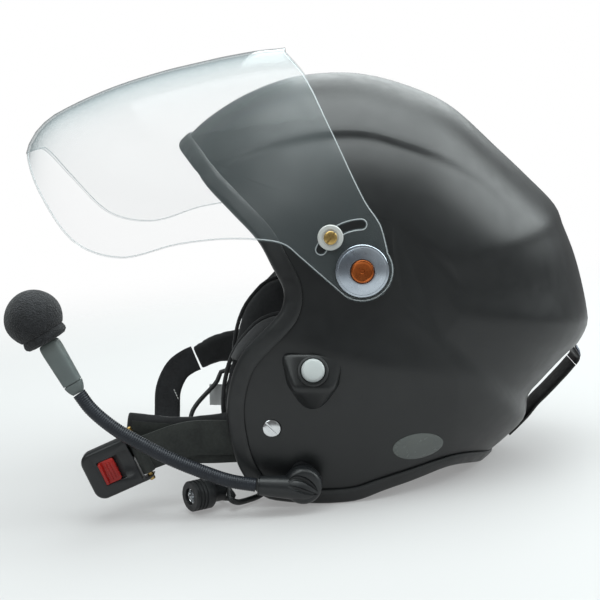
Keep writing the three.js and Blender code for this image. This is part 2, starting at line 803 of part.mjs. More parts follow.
// The boss is a wedge: a sloping face for the button on top, running down to a point.
const bossTop = buttonSpot.z + (bossFace / 2) * Math.cos(tilt);
const bossFoot = lateral(buttonSpot.y, bossTop);
const ridgeHeight = bossTop - bossFace * Math.cos(tilt);
const ridgeSide = bossFoot + bossFace * Math.sin(tilt);
const bossMiddle = new THREE.Vector3((bossFoot + ridgeSide) / 2, buttonSpot.y, buttonSpot.z);

function bossBody() {
  const corners = [];
  for (const end of [-1, 1]) {
    const topBack = buttonSpot.y + (end * bossTopWidth) / 2;
    const ridgeBack = buttonSpot.y + (end * bossRidgeWidth) / 2;
    corners.push(new THREE.Vector3(bossFoot - bossRoot, topBack, bossTop));
    corners.push(new THREE.Vector3(bossFoot, buttonSpot.y + (end * bossRidgeWidth) / 2, bossTop));
    corners.push(new THREE.Vector3(ridgeSide, ridgeBack, ridgeHeight));
    corners.push(new THREE.Vector3(lateral(topBack, ridgeHeight) - bossRoot, topBack - end * bossRoot * 2, ridgeHeight));
  }
  const tip = bossTop - bossDrop;
  corners.push(new THREE.Vector3(lateral(buttonSpot.y, tip) - bossRoot, buttonSpot.y, tip));
  return tidyBody(new ConvexGeometry(corners));
}

function flatUnder(spot, radius) {
  const around = [[0, 0], [radius, 0], [-radius, 0], [0, radius], [0, -radius]];
  return Math.min(...around.map(([back, up]) => lateral(spot.y + back, spot.z + up)));
}

const stopAngle = THREE.MathUtils.degToRad(stopDegrees);
const stopSpot = new THREE.Vector3(0, pivot.y + slotRadius * Math.cos(stopAngle), pivot.z + slotRadius * Math.sin(stopAngle));
const screwFace = flatUnder(strapScrew, strapScrewRadius) - strapScrewFit;
const drillFrom = shellHalfWidth - shellWall * 4;
const drillTo = shellHalfWidth + cutOverrun;

function drill(radius, spot, from, to, segments = 16) {
  return rod(radius, from, to, segments).rotateY(Math.PI / 2).translate(0, spot.y, spot.z);
}

function shellWithHoles() {
  const tools = [];
  for (const side of [leftSide, rightSide]) {
    const holes = [
      drill(pivotShank + seatGap, pivot, drillFrom, drillTo),
      drill(stopShank + seatGap, stopSpot, drillFrom, drillTo),
      drill(strapScrewShank + seatGap, strapScrew, drillFrom - shellWall * 2, drillTo),
      drill(strapScrewRadius + strapScrewFit, strapScrew, screwFace, drillTo),
    ];
    for (const hole of holes) tools.push(side > 0 ? hole : mirrored(hole));
  }
  const wide = buttonRadius + buttonFit;
  tools.push(seatedAlong(rod(wide, -shellWall * 5, cutOverrun, 20), bossMiddle, buttonAxis));
  return cut(join(shellBody(), bossBody()), ...tools);
}

addPiece('shell', shellWithHoles(), shellBlack);
addPiece('edge_trim', cut(trimBody(), shellBody(seatGap)), rubberBlack);

// Linings: bands over the crown from ear to ear, each a step inside the last
function bandBody(outerDepth, thickness, fromColumn, toColumn, skipped) {
  const across = 5;
  const foot = 0.3;
  const rings = [];
  for (let i = fromColumn; i <= toColumn; i += 1) {
    const end = columns[i].end;
    const root = fan.clone().lerp(end, foot);
    const start = sweepOf(outlineShareAt(root.y, root.z));
    const places = [];
    for (let step = skipped; step <= across; step += 1) {
      const sweep = start + ((Math.PI / 2 - start) * step) / across;
      const along = step === across ? 1 : alongTo(end, shareOf(sweep));
      const spot = fan.clone().lerp(end, along);
      places.push(new THREE.Vector3(step === across ? 0 : lateral(spot.y, spot.z), spot.y, spot.z));
    }
    const mirror = (list) => list.slice(0, -1).reverse().map((point) => point.clone().setX(-point.x));
    const outer = places.map((point) => drawnIn(point, outerDepth));
    const inner = places.map((point) => drawnIn(point, outerDepth + thickness));
    rings.push([...outer, ...mirror(outer), ...mirror(inner).reverse(), ...inner.slice().reverse()]);
  }
  return loft(rings, false, true);
}

const linerBlank = bandBody(linerDepth, linerThickness, 1, crownColumnCount - 1, 0);
addPiece('impact_liner', cut(linerBlank, shellBody(seatGap)), linerGrey);
const liningDepth = linerDepth + linerThickness + bandGap;
addPiece('crown_lining', bandBody(liningDepth, liningThickness, 2, 10, 1), clothBlack);
addPiece('nape_pad', bandBody(liningDepth, napePadThickness, 12, 16, 2), clothBlack);

// Cheek pads: a ring of foam round each ear cup, out to the edge of the opening
const ear = place(earShares);

function reachToEdge(turn) {
  const ahead = [Math.cos(turn), Math.sin(turn)];
  let best = Infinity;
  for (let i = 1; i < edgeLine.length; i += 1) {
    const [a, b] = [edgeLine[i - 1], edgeLine[i]];
    const span = [b.y - a.y, b.z - a.z];
    const cross = ahead[0] * span[1] - ahead[1] * span[0];
    const gap = [a.y - ear.y, a.z - ear.z];
    const reach = (gap[0] * span[1] - gap[1] * span[0]) / cross;
    const share = (gap[0] * ahead[1] - gap[1] * ahead[0]) / cross;
    if (reach > 0 && share >= 0 && share <= 1) best = Math.min(best, reach);
  }
  return best;
}

function padReach(turn) {
  const wide = Math.cos(turn) > 0 ? padRearReach : padFrontReach;
  const tall = Math.sin(turn) > 0 ? padUpReach : padDownReach;
  const oval = 1 / Math.hypot(Math.cos(turn) / wide, Math.sin(turn) / tall);
  return Math.min(oval, reachToEdge(turn) - padInset);
}

// The pad swells forward over the edge at the front of the cheek and stays inside it elsewhere.
function padSwell(turn) {
  const share = clamp01((-Math.cos(turn) - 0.7) / 0.2);
  return padBulge + padForward * share * share * (3 - 2 * share);
}

function padRimPoint(turnDegrees, beyond, side) {
  const turn = THREE.MathUtils.degToRad(turnDegrees);
  const reach = padReach(turn) + padSwell(turn) + beyond;
  return new THREE.Vector3(side, ear.y + reach * Math.cos(turn), ear.z + reach * Math.sin(turn));
}

function cheekPadBody() {
  const hole = earCupRadius + bandGap + seatGap;
  const rings = [];
  const turns = 24;
  for (let i = 0; i < turns; i += 1) {
    const turn = (2 * Math.PI * i) / turns;
    const rim = padReach(turn);
    const middle = (hole + rim) / 2;
    const at = (reach, side) => {
      const back = ear.y + reach * Math.cos(turn);
      const up = ear.z + reach * Math.sin(turn);
      return new THREE.Vector3(side ?? lateral(back, up) - padOuterDepth, back, up);
    };
    const swell = padSwell(turn);
    const outerRim = at(rim);
    outerRim.x -= padTuck;
    const waist = (outerRim.x + padFaceHalfWidth) / 2;
    rings.push([
      at(hole), at(middle), outerRim, at(rim + swell * 0.75, waist + (outerRim.x - waist) * 0.5),
      at(rim + swell, waist - padCrown), at(rim + swell * 0.5, padFaceHalfWidth),
      at(middle, padFaceHalfWidth - padCrown), at(hole, padFaceHalfWidth),
    ]);
  }
  const pocketCorner = place(pocketShares);
  const pocket = new THREE.BoxGeometry(cutOverrun, shellLength / 2, shellLength / 2);
  pocket.translate(pocketHalfWidth + cutOverrun / 2, pocketCorner.y - shellLength / 4, pocketCorner.z - shellLength / 4);
  return cut(loft(rings, true), pocket);
}

const cheekPad = cheekPadBody();
addPiece('cheek_pad_left', cheekPad, clothBlack);
addPiece('cheek_pad_right', mirrored(cheekPad), clothBlack);

// Ear cups with their seals and speakers, open towards the head
function onEar(geometry, from) {
  return geometry.rotateY(Math.PI / 2).translate(from, ear.y, ear.z);
}

const cupFrom = padFaceHalfWidth + seatGap;
const cupBevel = earCupWall * 1.5;
const earCup = onEar(turned([
  [0, earCupDepth], [earCupRadius - cupBevel, earCupDepth], [earCupRadius, earCupDepth - cupBevel],
  [earCupRadius, 0], [earCupRadius - earCupWall, 0],
  [earCupRadius - earCupWall, earCupDepth - cupBevel], [earCupRadius - cupBevel - earCupWall / 2, earCupDepth - earCupWall],
  [0, earCupDepth - earCupWall],
], 20), cupFrom);
const earSeal = onEar(turned([
  [earCupRadius - 2 * earSealTube, 0], [earCupRadius - earSealTube * 1.6, -earSealTube * 0.8],
  [earCupRadius - earSealTube, -earSealTube], [earCupRadius - earSealTube * 0.4, -earSealTube * 0.8],
  [earCupRadius, 0], [earCupRadius, earSealTube], [earCupRadius - earSealTube * 1.7, earSealTube],
  [earCupRadius - 2 * earSealTube, 0],
], 20), padFaceHalfWidth - earSealTube);
const speakerTo = earCupDepth - earCupWall - seatGap;
const speaker = onEar(rod(speakerRadius, speakerTo - speakerDepth, speakerTo), cupFrom);
addPiece('ear_cup_left', earCup, plasticBlack);
addPiece('ear_cup_right', mirrored(earCup), plasticBlack);
addPiece('ear_seal_left', earSeal, clothBlack);
addPiece('ear_seal_right', mirrored(earSeal), clothBlack);
addPiece('speaker_left', speaker, steelDark);
addPiece('speaker_right', mirrored(speaker), steelDark);

// Visor: a domed sheet about the pivot line, cut to its outline in the side view
const visorReach = polarFromDegrees(visorProfileShares);

function polarFromDegrees(table) {
  const sorted = table.map(([degrees, reach]) => [((degrees % 360) + 360) % 360, reach]).sort((a, b) => a[0] - b[0]);
  return (degrees) => {
    const turn = ((degrees % 360) + 360) % 360;
    let high = sorted.findIndex((entry) => entry[0] >= turn);
    if (high < 0) high = 0;
    const before = sorted[(high + sorted.length - 1) % sorted.length];
    const after = sorted[high];
    const span = (after[0] - before[0] + 360) % 360 || 360;
    const share = ((turn - before[0] + 360) % 360) / span;
    const ease = share;
    return (before[1] + (after[1] - before[1]) * ease) * shellLength;
  };
}

function visorDome(grow) {
  const turns = [];
  for (let degrees = -24; degrees <= 102; degrees += 8.4) turns.push(degrees);
  for (let degrees = 122; degrees < 330; degrees += 20) turns.push(degrees);
  const half = visorHalfWidth + grow;
  const stations = [[0, half], [visorFlatShare, half]];
  const sweeps = 12;
  for (let i = 1; i < sweeps; i += 1) {
    const sweep = (Math.PI * i) / sweeps;
    const flat = Math.abs(Math.cos(sweep)) ** (2 / visorFlatnessPower);
    stations.push([Math.sin(sweep) ** (2 / visorSpreadPower), Math.sign(Math.cos(sweep)) * half * flat]);
  }
  stations.push([visorFlatShare, -half], [0, -half]);
  return loft(stations.map(([share, side]) => turns.map((degrees) => {
    const turn = THREE.MathUtils.degToRad(degrees);
    const reach = share * (visorReach(degrees) + grow);
    return new THREE.Vector3(side, pivot.y - reach * Math.cos(turn), pivot.z + reach * Math.sin(turn));
  })));
}

function visorOutline() {
  const at = ([back, up]) => new THREE.Vector2(pivot.y + back * shellLength, pivot.z + up * shellLength);
  const rear = visorRearShares.map(at);
  const front = visorFrontShares.map(at);
  const armFrom = Math.atan2(rear[rear.length - 1].y - pivot.z, rear[rear.length - 1].x - pivot.y);
  const armTo = THREE.MathUtils.degToRad(-125);
  const shape = new THREE.Shape();
  shape.moveTo(rear[0].x, rear[0].y);
  shape.splineThru(rear.slice(1));
  shape.absarc(pivot.y, pivot.z, visorArmRadius, armFrom, armTo, true);
  shape.lineTo(front[0].x, front[0].y);
  shape.splineThru(front.slice(1));
  for (const corner of visorOverrunShares.map(at)) shape.lineTo(corner.x, corner.y);
  shape.closePath();
  const hole = new THREE.Path();
  hole.absarc(pivot.y, pivot.z, pivotShank + bandGap, 0, 2 * Math.PI, false);
  const slot = new THREE.Path();
  const [from, to] = [slotFromDegrees, slotToDegrees].map(THREE.MathUtils.degToRad);
  slot.absarc(pivot.y, pivot.z, slotRadius + slotHalfWidth, from, to, false);
  slot.absarc(pivot.y + slotRadius * Math.cos(to), pivot.z + slotRadius * Math.sin(to), slotHalfWidth, to, to + Math.PI, false);
  slot.absarc(pivot.y, pivot.z, slotRadius - slotHalfWidth, to, from, true);
  slot.absarc(pivot.y + slotRadius * Math.cos(from), pivot.z + slotRadius * Math.sin(from), slotHalfWidth, from + Math.PI, from + 2 * Math.PI, false);
  shape.holes.push(hole, slot);
  return shape;
}

function visorBody() {
  const sheet = cut(visorDome(visorThickness), visorDome(0));
  const plate = sidePlate(visorOutline(), -shellHalfWidth - cutOverrun, shellHalfWidth + cutOverrun, 5);
  return overlapOf(sheet, plate);
}

addPiece('visor', visorBody(), clearVisor);

// Pivot hardware on both sides
function alongSide(geometry, from, spot, side) {
  const turnedOut = geometry.clone().rotateY(Math.PI / 2).translate(from, spot.y, spot.z);
  return side > 0 ? turnedOut : mirrored(turnedOut);
}

function slotted(geometry, top, radius, turn = 0) {
  const slot = new THREE.BoxGeometry(screwSlotWidth, radius * 3, screwSlotDepth * 2).rotateZ(turn).translate(0, 0, top);
  return cut(geometry, slot);
}

const visorOuter = visorHalfWidth + visorThickness + seatGap;
const nutFrom = lateral(pivot.y, pivot.z) - shellWall - 2 * seatGap - insideNutThickness;
const shankDepth = visorOuter - nutFrom;
const discBevel = discThickness / 4;
const disc = turned([
  [capRadius + seatGap, 0], [discRadius - discBevel, 0], [discRadius, discBevel], [discRadius, 2 * discBevel],
  [capRadius + 2 * discBevel, discThickness], [capRadius + seatGap, discThickness], [capRadius + seatGap, 0],
], 20);
const pivotScrew = turned([
  [0, -shankDepth], [pivotShank, -shankDepth], [pivotShank, 0], [capRadius, 0],
  [capRadius, capHeight - discBevel], [capRadius - 2 * discBevel, capHeight], [0, capHeight],
], 20);
const stopScrewPlain = turned([
  [0, -shankDepth + insideNutThickness], [stopShank, -shankDepth + insideNutThickness], [stopShank, 0],
  [stopScrewRadius, 0], [stopScrewRadius, stopScrewHeight * 0.6], [stopScrewRadius * 0.8, stopScrewHeight],
  [0, stopScrewHeight],
], 16);
const stopScrew = slotted(stopScrewPlain, stopScrewHeight, stopScrewRadius, Math.PI / 5);
const spacerFrom = lateral(pivot.y, pivot.z) + seatGap;

for (const [word, side] of [['left', leftSide], ['right', rightSide]]) {
  const spacer = tubeRing(pivotShank + bandGap, spacerRadius, 0, visorHalfWidth - seatGap - spacerFrom, 16);
  const nut = tubeRing(pivotShank + bandGap, pivotShank * 2, 0, insideNutThickness, 12);
  const washer = tubeRing(stopShank + bandGap, stopWasherRadius, 0, stopWasherThickness, 16);
  addPiece(`pivot_spacer_${word}`, alongSide(spacer, spacerFrom, pivot, side), nylonWhite);
  addPiece(`visor_disc_${word}`, alongSide(disc, visorOuter, pivot, side), turnedAluminium);
  addPiece(`pivot_screw_${word}`, alongSide(pivotScrew, visorOuter, pivot, side), bronze);
  addPiece(`pivot_nut_${word}`, alongSide(nut, nutFrom, pivot, side), steelDark);
  addPiece(`stop_washer_${word}`, alongSide(washer, visorOuter, stopSpot, side), nylonWhite);
  const overWasher = visorOuter + stopWasherThickness + seatGap;
  addPiece(`stop_screw_${word}`, alongSide(stopScrew, overWasher, stopSpot, side), brass);
}

// Push-to-talk button
const ring = tubeRing(buttonRadius + buttonFit, ringRadius, seatGap, seatGap + ringHeight, 20);
const button = turned([
  [0, -buttonFit * 2], [buttonStem, -buttonFit * 2], [buttonStem, buttonFit / 2], [buttonRadius, buttonFit / 2],
  [buttonRadius, buttonHeight - buttonFit * 2], [buttonRadius * 0.8, buttonHeight], [0, buttonHeight + buttonFit],
], 20);
const switchTop = -buttonFit * 3 - buttonTravel;
addPiece('button_ring', seatedAlong(ring, bossMiddle, buttonAxis), rubberBlack);
addPiece('talk_button', seatedAlong(button, bossMiddle, buttonAxis), plasticGrey);
addPiece('switch_body', seatedAlong(rod(switchRadius, switchTop - switchDepth, switchTop, 16), bossMiddle, buttonAxis), plasticBlack);

// Ribbons: a flat section carried along a line without twisting
function ribbon(shares, widthFrom, widthTo, thickness, steps, across, start = 0, end = 1) {
  const curve = new THREE.CatmullRomCurve3(shares.map(place), false, 'centripetal');
  const rings = [];
  let flat = across.clone();
  for (let i = 0; i <= steps; i += 1) {
    const share = start + ((end - start) * i) / steps;
    const middle = curve.getPointAt(share);
    const along = curve.getTangentAt(share);
    flat.addScaledVector(along, -flat.dot(along)).normalize();
    const wide = along.clone().cross(flat);
    const half = (widthFrom + ((widthTo - widthFrom) * i) / steps) / 2;
    const deep = thickness / 2;
    const corner = deep / 2;
    const outline = [
      [half, deep - corner], [half - corner, deep], [corner - half, deep], [-half, deep - corner],
      [-half, corner - deep], [corner - half, -deep], [half - corner, -deep], [half, corner - deep],
    ];
    rings.push(outline.map(([w, t]) => middle.clone().addScaledVector(wide, w).addScaledVector(flat, t)));
    flat = flat.clone();
  }
  return loft(rings);
}

// Chin strap: padded left half with the buckle, right half with the tongue
const shankHole = rod(strapScrewShank + strapHoleFit, -shellHalfWidth, shellHalfWidth, 12)
  .rotateY(Math.PI / 2).translate(0, strapScrew.y, strapScrew.z);
const buckleAngle = THREE.MathUtils.degToRad(buckleTiltDegrees);
const buckleAlong = new THREE.Vector3(0, Math.cos(buckleAngle), Math.sin(buckleAngle));
const buckleAcross = new THREE.Vector3(0, -Math.sin(buckleAngle), Math.cos(buckleAngle));
const buckleMiddle = place(buckleShares);
const pinReach = buckleLength / 2 - bucklePinRadius - buckleWall / 2;

function onBuckle(geometry) {
  const turn = new THREE.Matrix4().makeBasis(buckleAlong, buckleAcross, axisX);
  return geometry.clone().applyMatrix4(turn).translate(buckleMiddle.x, buckleMiddle.y, buckleMiddle.z);
}

function roundedPlate(length, width, depth, corner, bevel) {
  const shape = new THREE.Shape();
  const [x, y] = [length / 2 - bevel, width / 2 - bevel];
  shape.moveTo(-x + corner, -y);
  shape.lineTo(x - corner, -y);
  shape.absarc(x - corner, -y + corner, corner, -Math.PI / 2, 0, false);
  shape.lineTo(x, y - corner);
  shape.absarc(x - corner, y - corner, corner, 0, Math.PI / 2, false);
  shape.lineTo(-x + corner, y);
  shape.absarc(-x + corner, y - corner, corner, Math.PI / 2, Math.PI, false);
  shape.lineTo(-x, -y + corner);
  shape.absarc(-x + corner, -y + corner, corner, Math.PI, 1.5 * Math.PI, false);
  const options = { depth: depth - 2 * bevel, curveSegments: 3, bevelEnabled: bevel > 0, bevelSize: bevel, bevelThickness: bevel, bevelSegments: 1 };
  return tidyBody(new THREE.ExtrudeGeometry(shape, options).translate(0, 0, bevel - depth / 2));
}

const loopGap = buckleWidth - 2 * buckleWall;
const crossRod = (radius, half, segments) => rod(radius, -half, half, segments).rotateX(-Math.PI / 2).translate(pinReach, 0, 0);

function leftStrapBody() {
  const band = ribbon(leftStrapShares, strapWidth, strapWidth, strapThickness, 9, axisX);
  const loop = onBuckle(crossRod(loopRadius, loopGap / 2 - seatGap * 2, 16));
  return cut(join(band, loop), onBuckle(crossRod(bucklePinRadius + bandGap, buckleWidth, 12)), shankHole);
}

addPiece('left_strap', leftStrapBody(), clothGrey);
addPiece('left_strap_pad', cut(ribbon(leftPadShares, strapPadWidth, strapPadWidth * 0.8, strapPadThickness, 12, axisX), shankHole), clothBlack);

function buckleBody() {
  const block = roundedPlate(buckleLength, buckleWidth, buckleThickness, buckleCorner, buckleWall / 2);
  const mouth = new THREE.BoxGeometry(buckleMouthDepth * 2, buckleMouthWidth, buckleMouthHeight)
    .translate(-buckleLength / 2, 0, -buckleWall);
  const rear = loopRadius + bucklePinRadius + buckleWall;
  const rearSlot = new THREE.BoxGeometry(rear * 2, loopGap, buckleThickness * 2)
    .translate(pinReach - loopRadius - bandGap * 2 + rear, 0, 0);
  const pocketLength = releaseLength + releaseTravel + 2 * bandGap;
  const pocket = new THREE.BoxGeometry(pocketLength, releaseWidth + 2 * bandGap, releaseHeight * 2)
    .translate(releaseFrom + pocketLength / 2 - bandGap, 0, buckleThickness / 2);
  const scoop = new THREE.SphereGeometry(buckleWidth / 2.4, 20, 12)
    .translate(releaseFrom + pocketLength + buckleWall * 2, 0, buckleThickness / 2 + buckleWidth / 3.2);
  return cut(block, mouth, rearSlot, pocket, scoop, crossRod(bucklePinRadius + seatGap, buckleWidth, 12));
}

const releaseFrom = -buckleLength / 2 + buckleWall * 1.6;
const releaseTop = buckleThickness / 2 + buckleWall / 3;
const releaseBlock = new THREE.BoxGeometry(releaseLength, releaseWidth, releaseHeight)
  .translate(releaseFrom + releaseLength / 2, 0, buckleThickness / 2 - releaseHeight / 2 + seatGap);
const releaseBar = new THREE.BoxGeometry(releaseRib, releaseWidth, releaseRib)
  .translate(releaseFrom + releaseRib / 2, 0, releaseTop + releaseRib / 4);
addPiece('buckle_housing', onBuckle(buckleBody()), plasticBlack);
addPiece('buckle_release', onBuckle(join(releaseBlock, releaseBar)), plasticRed);
addPiece('buckle_pin', onBuckle(crossRod(bucklePinRadius, bucklePinLength / 2, 12)), brass);

const rightPad = ribbon(rightPadShares, rightPadWidth, rightPadTipWidth, strapPadThickness, 10, axisX);
addPiece('right_strap_pad', cut(rightPad, shankHole), clothBlack);
addPiece('right_strap', ribbon(webbingShares, webbingWidth, webbingWidth, webbingThickness, 14, axisX), clothBlack);

function tongueBody() {
  const plate = roundedPlate(tongueLength, tongueWidth, tongueThickness, tongueSlotLength / 2, 0);
  const slot = new THREE.BoxGeometry(tongueSlotLength, tongueWidth * 0.6, tongueThickness * 2)
    .translate(tongueLength / 4, 0, 0);
  return cut(plate, slot);
}

const webbingEnd = place(webbingShares[webbingShares.length - 1]);
addPiece('strap_tongue', tongueBody().translate(
  webbingEnd.x + tongueGap + tongueLength / 2, webbingEnd.y, webbingEnd.z), chrome);

// Strap screws with the bushes that carry the straps inside the shell
const strapOuter = { left: place(leftStrapShares[0]).x + strapThickness / 2, right: -place(rightPadShares[0]).x + strapPadThickness / 2 };
const screwBehind = { left: strapThickness + seatGap, right: strapPadThickness + seatGap };
const wallInside = flatUnder(strapScrew, strapScrewRadius) - shellWall;
for (const [word, side] of [['left', leftSide], ['right', rightSide]]) {
  const reach = screwFace + seatGap - strapOuter[word] + screwBehind[word];
  const plain = turned([
    [0, -reach], [strapScrewShank, -reach], [strapScrewShank, 0], [strapScrewRadius, 0],
    [strapScrewRadius, strapScrewHeight * 0.5], [strapScrewRadius * 0.75, strapScrewHeight], [0, strapScrewHeight],
  ], 20);
  const screw = slotted(plain, strapScrewHeight, strapScrewRadius, Math.PI / 7);
  const bushFrom = strapOuter[word] + 3 * seatGap;
  const bush = tubeRing(strapScrewShank + bandGap, strapScrewRadius, 0, wallInside - 3 * seatGap - bushFrom, 16);
  addPiece(`strap_screw_${word}`, alongSide(screw, screwFace + seatGap, strapScrew, side), chrome);
  addPiece(`strap_bush_${word}`, alongSide(bush, bushFrom, strapScrew, side), nylonWhite);
}

// Boom microphone: foot on the shell, swinging arm, gooseneck, capsule and foam
const boom = place(boomShares);
const discFrom = boomPlateStand + boomPlateThickness + bandGap;

function boomFootBody() {
  const spot = new THREE.Vector3(0, boom.y, boom.z + boomFootRise);
  const foot = drill(boomFootRadius, spot, boomPlateStand - cutOverrun, boomPlateStand + boomPlateThickness / 2, 20);
  const plate = drill(boomPlateRadius, boom, boomPlateStand, boomPlateStand + boomPlateThickness, 24);
  const bolt = drill(boomBoltRadius, boom, boomPlateStand, boomPlateStand + boomPlateThickness + boomBoltLength, 16);
  return cut(join(foot, plate, bolt), shellBlank(blankStand));
}

function boomArmBody() {
  const start = gooseneckCurve.getPointAt(0);
  const rim = boomDiscThickness / 6;
  const face = turned([
    [0, 0], [boomDiscRadius - rim, 0], [boomDiscRadius, rim], [boomDiscRadius, boomDiscThickness - 2 * rim],
    [boomDiscRadius - 2 * rim, boomDiscThickness], [0, boomDiscThickness],
  ], 22).rotateY(Math.PI / 2).translate(discFrom, boom.y, boom.z);
  const ferrule = rodBetween(boomDiscRadius / 2, ferruleTaper, new THREE.Vector3(start.x, boom.y, boom.z), start);
  const socket = drill(boomBoltRadius + seatGap, boom, discFrom - boomPlateThickness, discFrom + boomBoltLength, 16);
  return cut(join(face, ferrule), socket);
}

function rodBetween(radiusFrom, radiusTo, from, to) {
  const ahead = to.clone().sub(from);
  const body = turned([[0, 0], [radiusFrom, 0], [radiusTo, ahead.length()], [0, ahead.length()]], 16);
  return seatedAlong(body, from, ahead.normalize());
}

const gooseneckCurve = new THREE.CatmullRomCurve3(gooseneckShares.map(place), false, 'centripetal');

// A ribbed tube with its bore: two rings a rib outside and one ring every few ribs inside
function gooseneckBody() {
  const sides = 8;
  const ringAt = (along, radius) => {
    const middle = gooseneckCurve.getPointAt(along);
    const ahead = gooseneckCurve.getTangentAt(along);
    const flat = axisX.clone().addScaledVector(ahead, -axisX.dot(ahead)).normalize();
    const wide = ahead.clone().cross(flat);
    const spots = [];
    for (let i = 0; i < sides; i += 1) {
      const turn = (2 * Math.PI * i) / sides;
      spots.push(middle.clone().addScaledVector(flat, radius * Math.cos(turn)).addScaledVector(wide, radius * Math.sin(turn)));
    }
    return spots;
  };
  const gap = (4 * seatGap) / gooseneckCurve.getLength();
  const outside = [];
  for (let rib = 0; rib <= gooseneckRibCount; rib += 1) {
    const along = gap + ((1 - gap) * rib) / gooseneckRibCount;
    outside.push(ringAt(along, gooseneckRadius));
    if (rib < gooseneckRibCount) outside.push(ringAt(along + (1 - gap) / (2 * gooseneckRibCount), gooseneckRadius - ribDepth));
  }
  const inside = [];
  for (let rib = 0; rib <= gooseneckRibCount; rib += ribsPerBoreRingCount) {
    inside.push(ringAt(gap + ((1 - gap) * Math.min(rib, gooseneckRibCount)) / gooseneckRibCount, gooseneckBore));
  }
  inside.push(ringAt(1, gooseneckBore));
  return loft([...outside, ...inside.reverse()], true);
}

addPiece('boom_foot', boomFootBody(), plasticBlack);
addPiece('boom_arm', boomArmBody(), plasticBlack);
addPiece('gooseneck', gooseneckBody(), steelDark);

const neckEnd = gooseneckCurve.getPointAt(1);
const micAhead = place(foamShares).sub(neckEnd).normalize();
const foamMiddle = neckEnd.clone().addScaledVector(micAhead, micLength + foamStand);

function capsuleBody() {
  const flat = axisX.clone().addScaledVector(micAhead, -axisX.dot(micAhead)).normalize();
  const wide = micAhead.clone().cross(flat);
  const rings = [];
  for (const [along, share, shrink] of [[0, 0, 0.8], [0.12, 0.12, 1], [0.9, 0.9, 1], [1, 1, 0.85]]) {
    const middle = neckEnd.clone().addScaledVector(micAhead, 4 * seatGap + along * micLength);
    const w = (shrink * (micBaseWidth + (micTipWidth - micBaseWidth) * share)) / 2;
    const h = (shrink * (micBaseHeight + (micTipHeight - micBaseHeight) * share)) / 2;
    const cornerCut = h * 0.35;
    const outline = [
      [h, w - cornerCut], [h - cornerCut, w], [cornerCut - h, w], [-h, w - cornerCut],
      [-h, cornerCut - w], [cornerCut - h, -w], [h - cornerCut, -w], [h, cornerCut - w],
    ];
    rings.push(outline.map(([t, v]) => middle.clone().addScaledVector(flat, t).addScaledVector(wide, v)));
  }
  return loft(rings);
}

function foamBody() {
  const profile = [];
  const start = 5 * seatGap - foamStand;
  const steps = 7;
  const collarTo = start + foamCollarHeight;
  profile.push([0, start], [foamCollarRadius * 0.8, start], [foamCollarRadius, start + foamCollarHeight / 3]);
  profile.push([foamCollarRadius, collarTo - foamCollarHeight / 3]);
  const from = Math.asin(collarTo / foamRadius);
  for (let i = 0; i <= steps; i += 1) {
    const turn = from + ((Math.PI / 2 - from) * i) / steps;
    profile.push([i === steps ? 0 : foamRadius * Math.cos(turn), foamRadius * Math.sin(turn)]);
  }
  return seatedAlong(turned(profile, 20), foamMiddle, micAhead);
}

addPiece('mic_capsule', capsuleBody(), capsuleGrey);
addPiece('mic_foam', foamBody(), foamBlack);

// Radio socket lying on the ground, with a lead from each ear
const socketMiddle = place(socketShares);
socketMiddle.z = groundAt(socketMiddle.y) + 2 * groundClearance + socketRadius;
const socketRear = socketLength / 2;

function socketAt(geometry) {
  return geometry.clone().rotateX(Math.PI / 2).translate(socketMiddle.x, socketMiddle.y, socketMiddle.z);
}

const socketStep = socketNeckLength / 4;
addPiece('jack_socket', socketAt(turned([
  [0, -socketRear], [socketNeckRadius, -socketRear], [socketNeckRadius, -socketRear + socketNeckLength],
  [socketRadius - socketStep / 2, -socketRear + socketNeckLength + socketStep],
  [socketRadius, socketRear - 3 * socketStep], [socketRadius - socketStep / 2, socketRear - 2 * socketStep],
  [socketRadius, socketRear - socketStep], [socketRadius - socketStep / 2, socketRear],
  [socketBore, socketRear], [socketBore, socketRear - socketBoreDepth], [0, socketRear - socketBoreDepth],
], 18)), rubberBlack);
addPiece('socket_sleeve', socketAt(tubeRing(socketBore - seatGap - sleeveWall, socketBore - seatGap,
  socketRear - socketBoreDepth + seatGap, socketRear - socketStep, 18)), chrome);

function grommetAt(turnDegrees, side) {
  const from = padRimPoint(turnDegrees, seatGap, side);
  const to = padRimPoint(turnDegrees, seatGap + grommetLength, side);
  return { from, to, body: rodBetween(grommetRadius, grommetRadius * 0.75, from, to) };
}

function leadBody(radius, start, points, end, sides) {
  const ahead = start.to.clone().sub(start.from).normalize();
  const first = start.to.clone().addScaledVector(ahead, seatGap);
  const route = [first, first.clone().addScaledVector(ahead, 2 * radius)];
  for (const shares of points) route.push(place(shares));
  route.push(end.clone().add(new THREE.Vector3(0, 2 * radius, 0)), end);
  const curve = new THREE.CatmullRomCurve3(route, false, 'centripetal');
  const section = new THREE.Shape();
  for (let i = 0; i < sides; i += 1) {
    const turn = (2 * Math.PI * i) / sides;
    if (i === 0) section.moveTo(radius, 0);
    else section.lineTo(radius * Math.cos(turn), radius * Math.sin(turn));
  }
  section.closePath();
  const steps = Math.ceil(curve.getLength() / (5 * radius));
  return tidyBody(new THREE.ExtrudeGeometry(section, { steps, extrudePath: curve, bevelEnabled: false }));
}

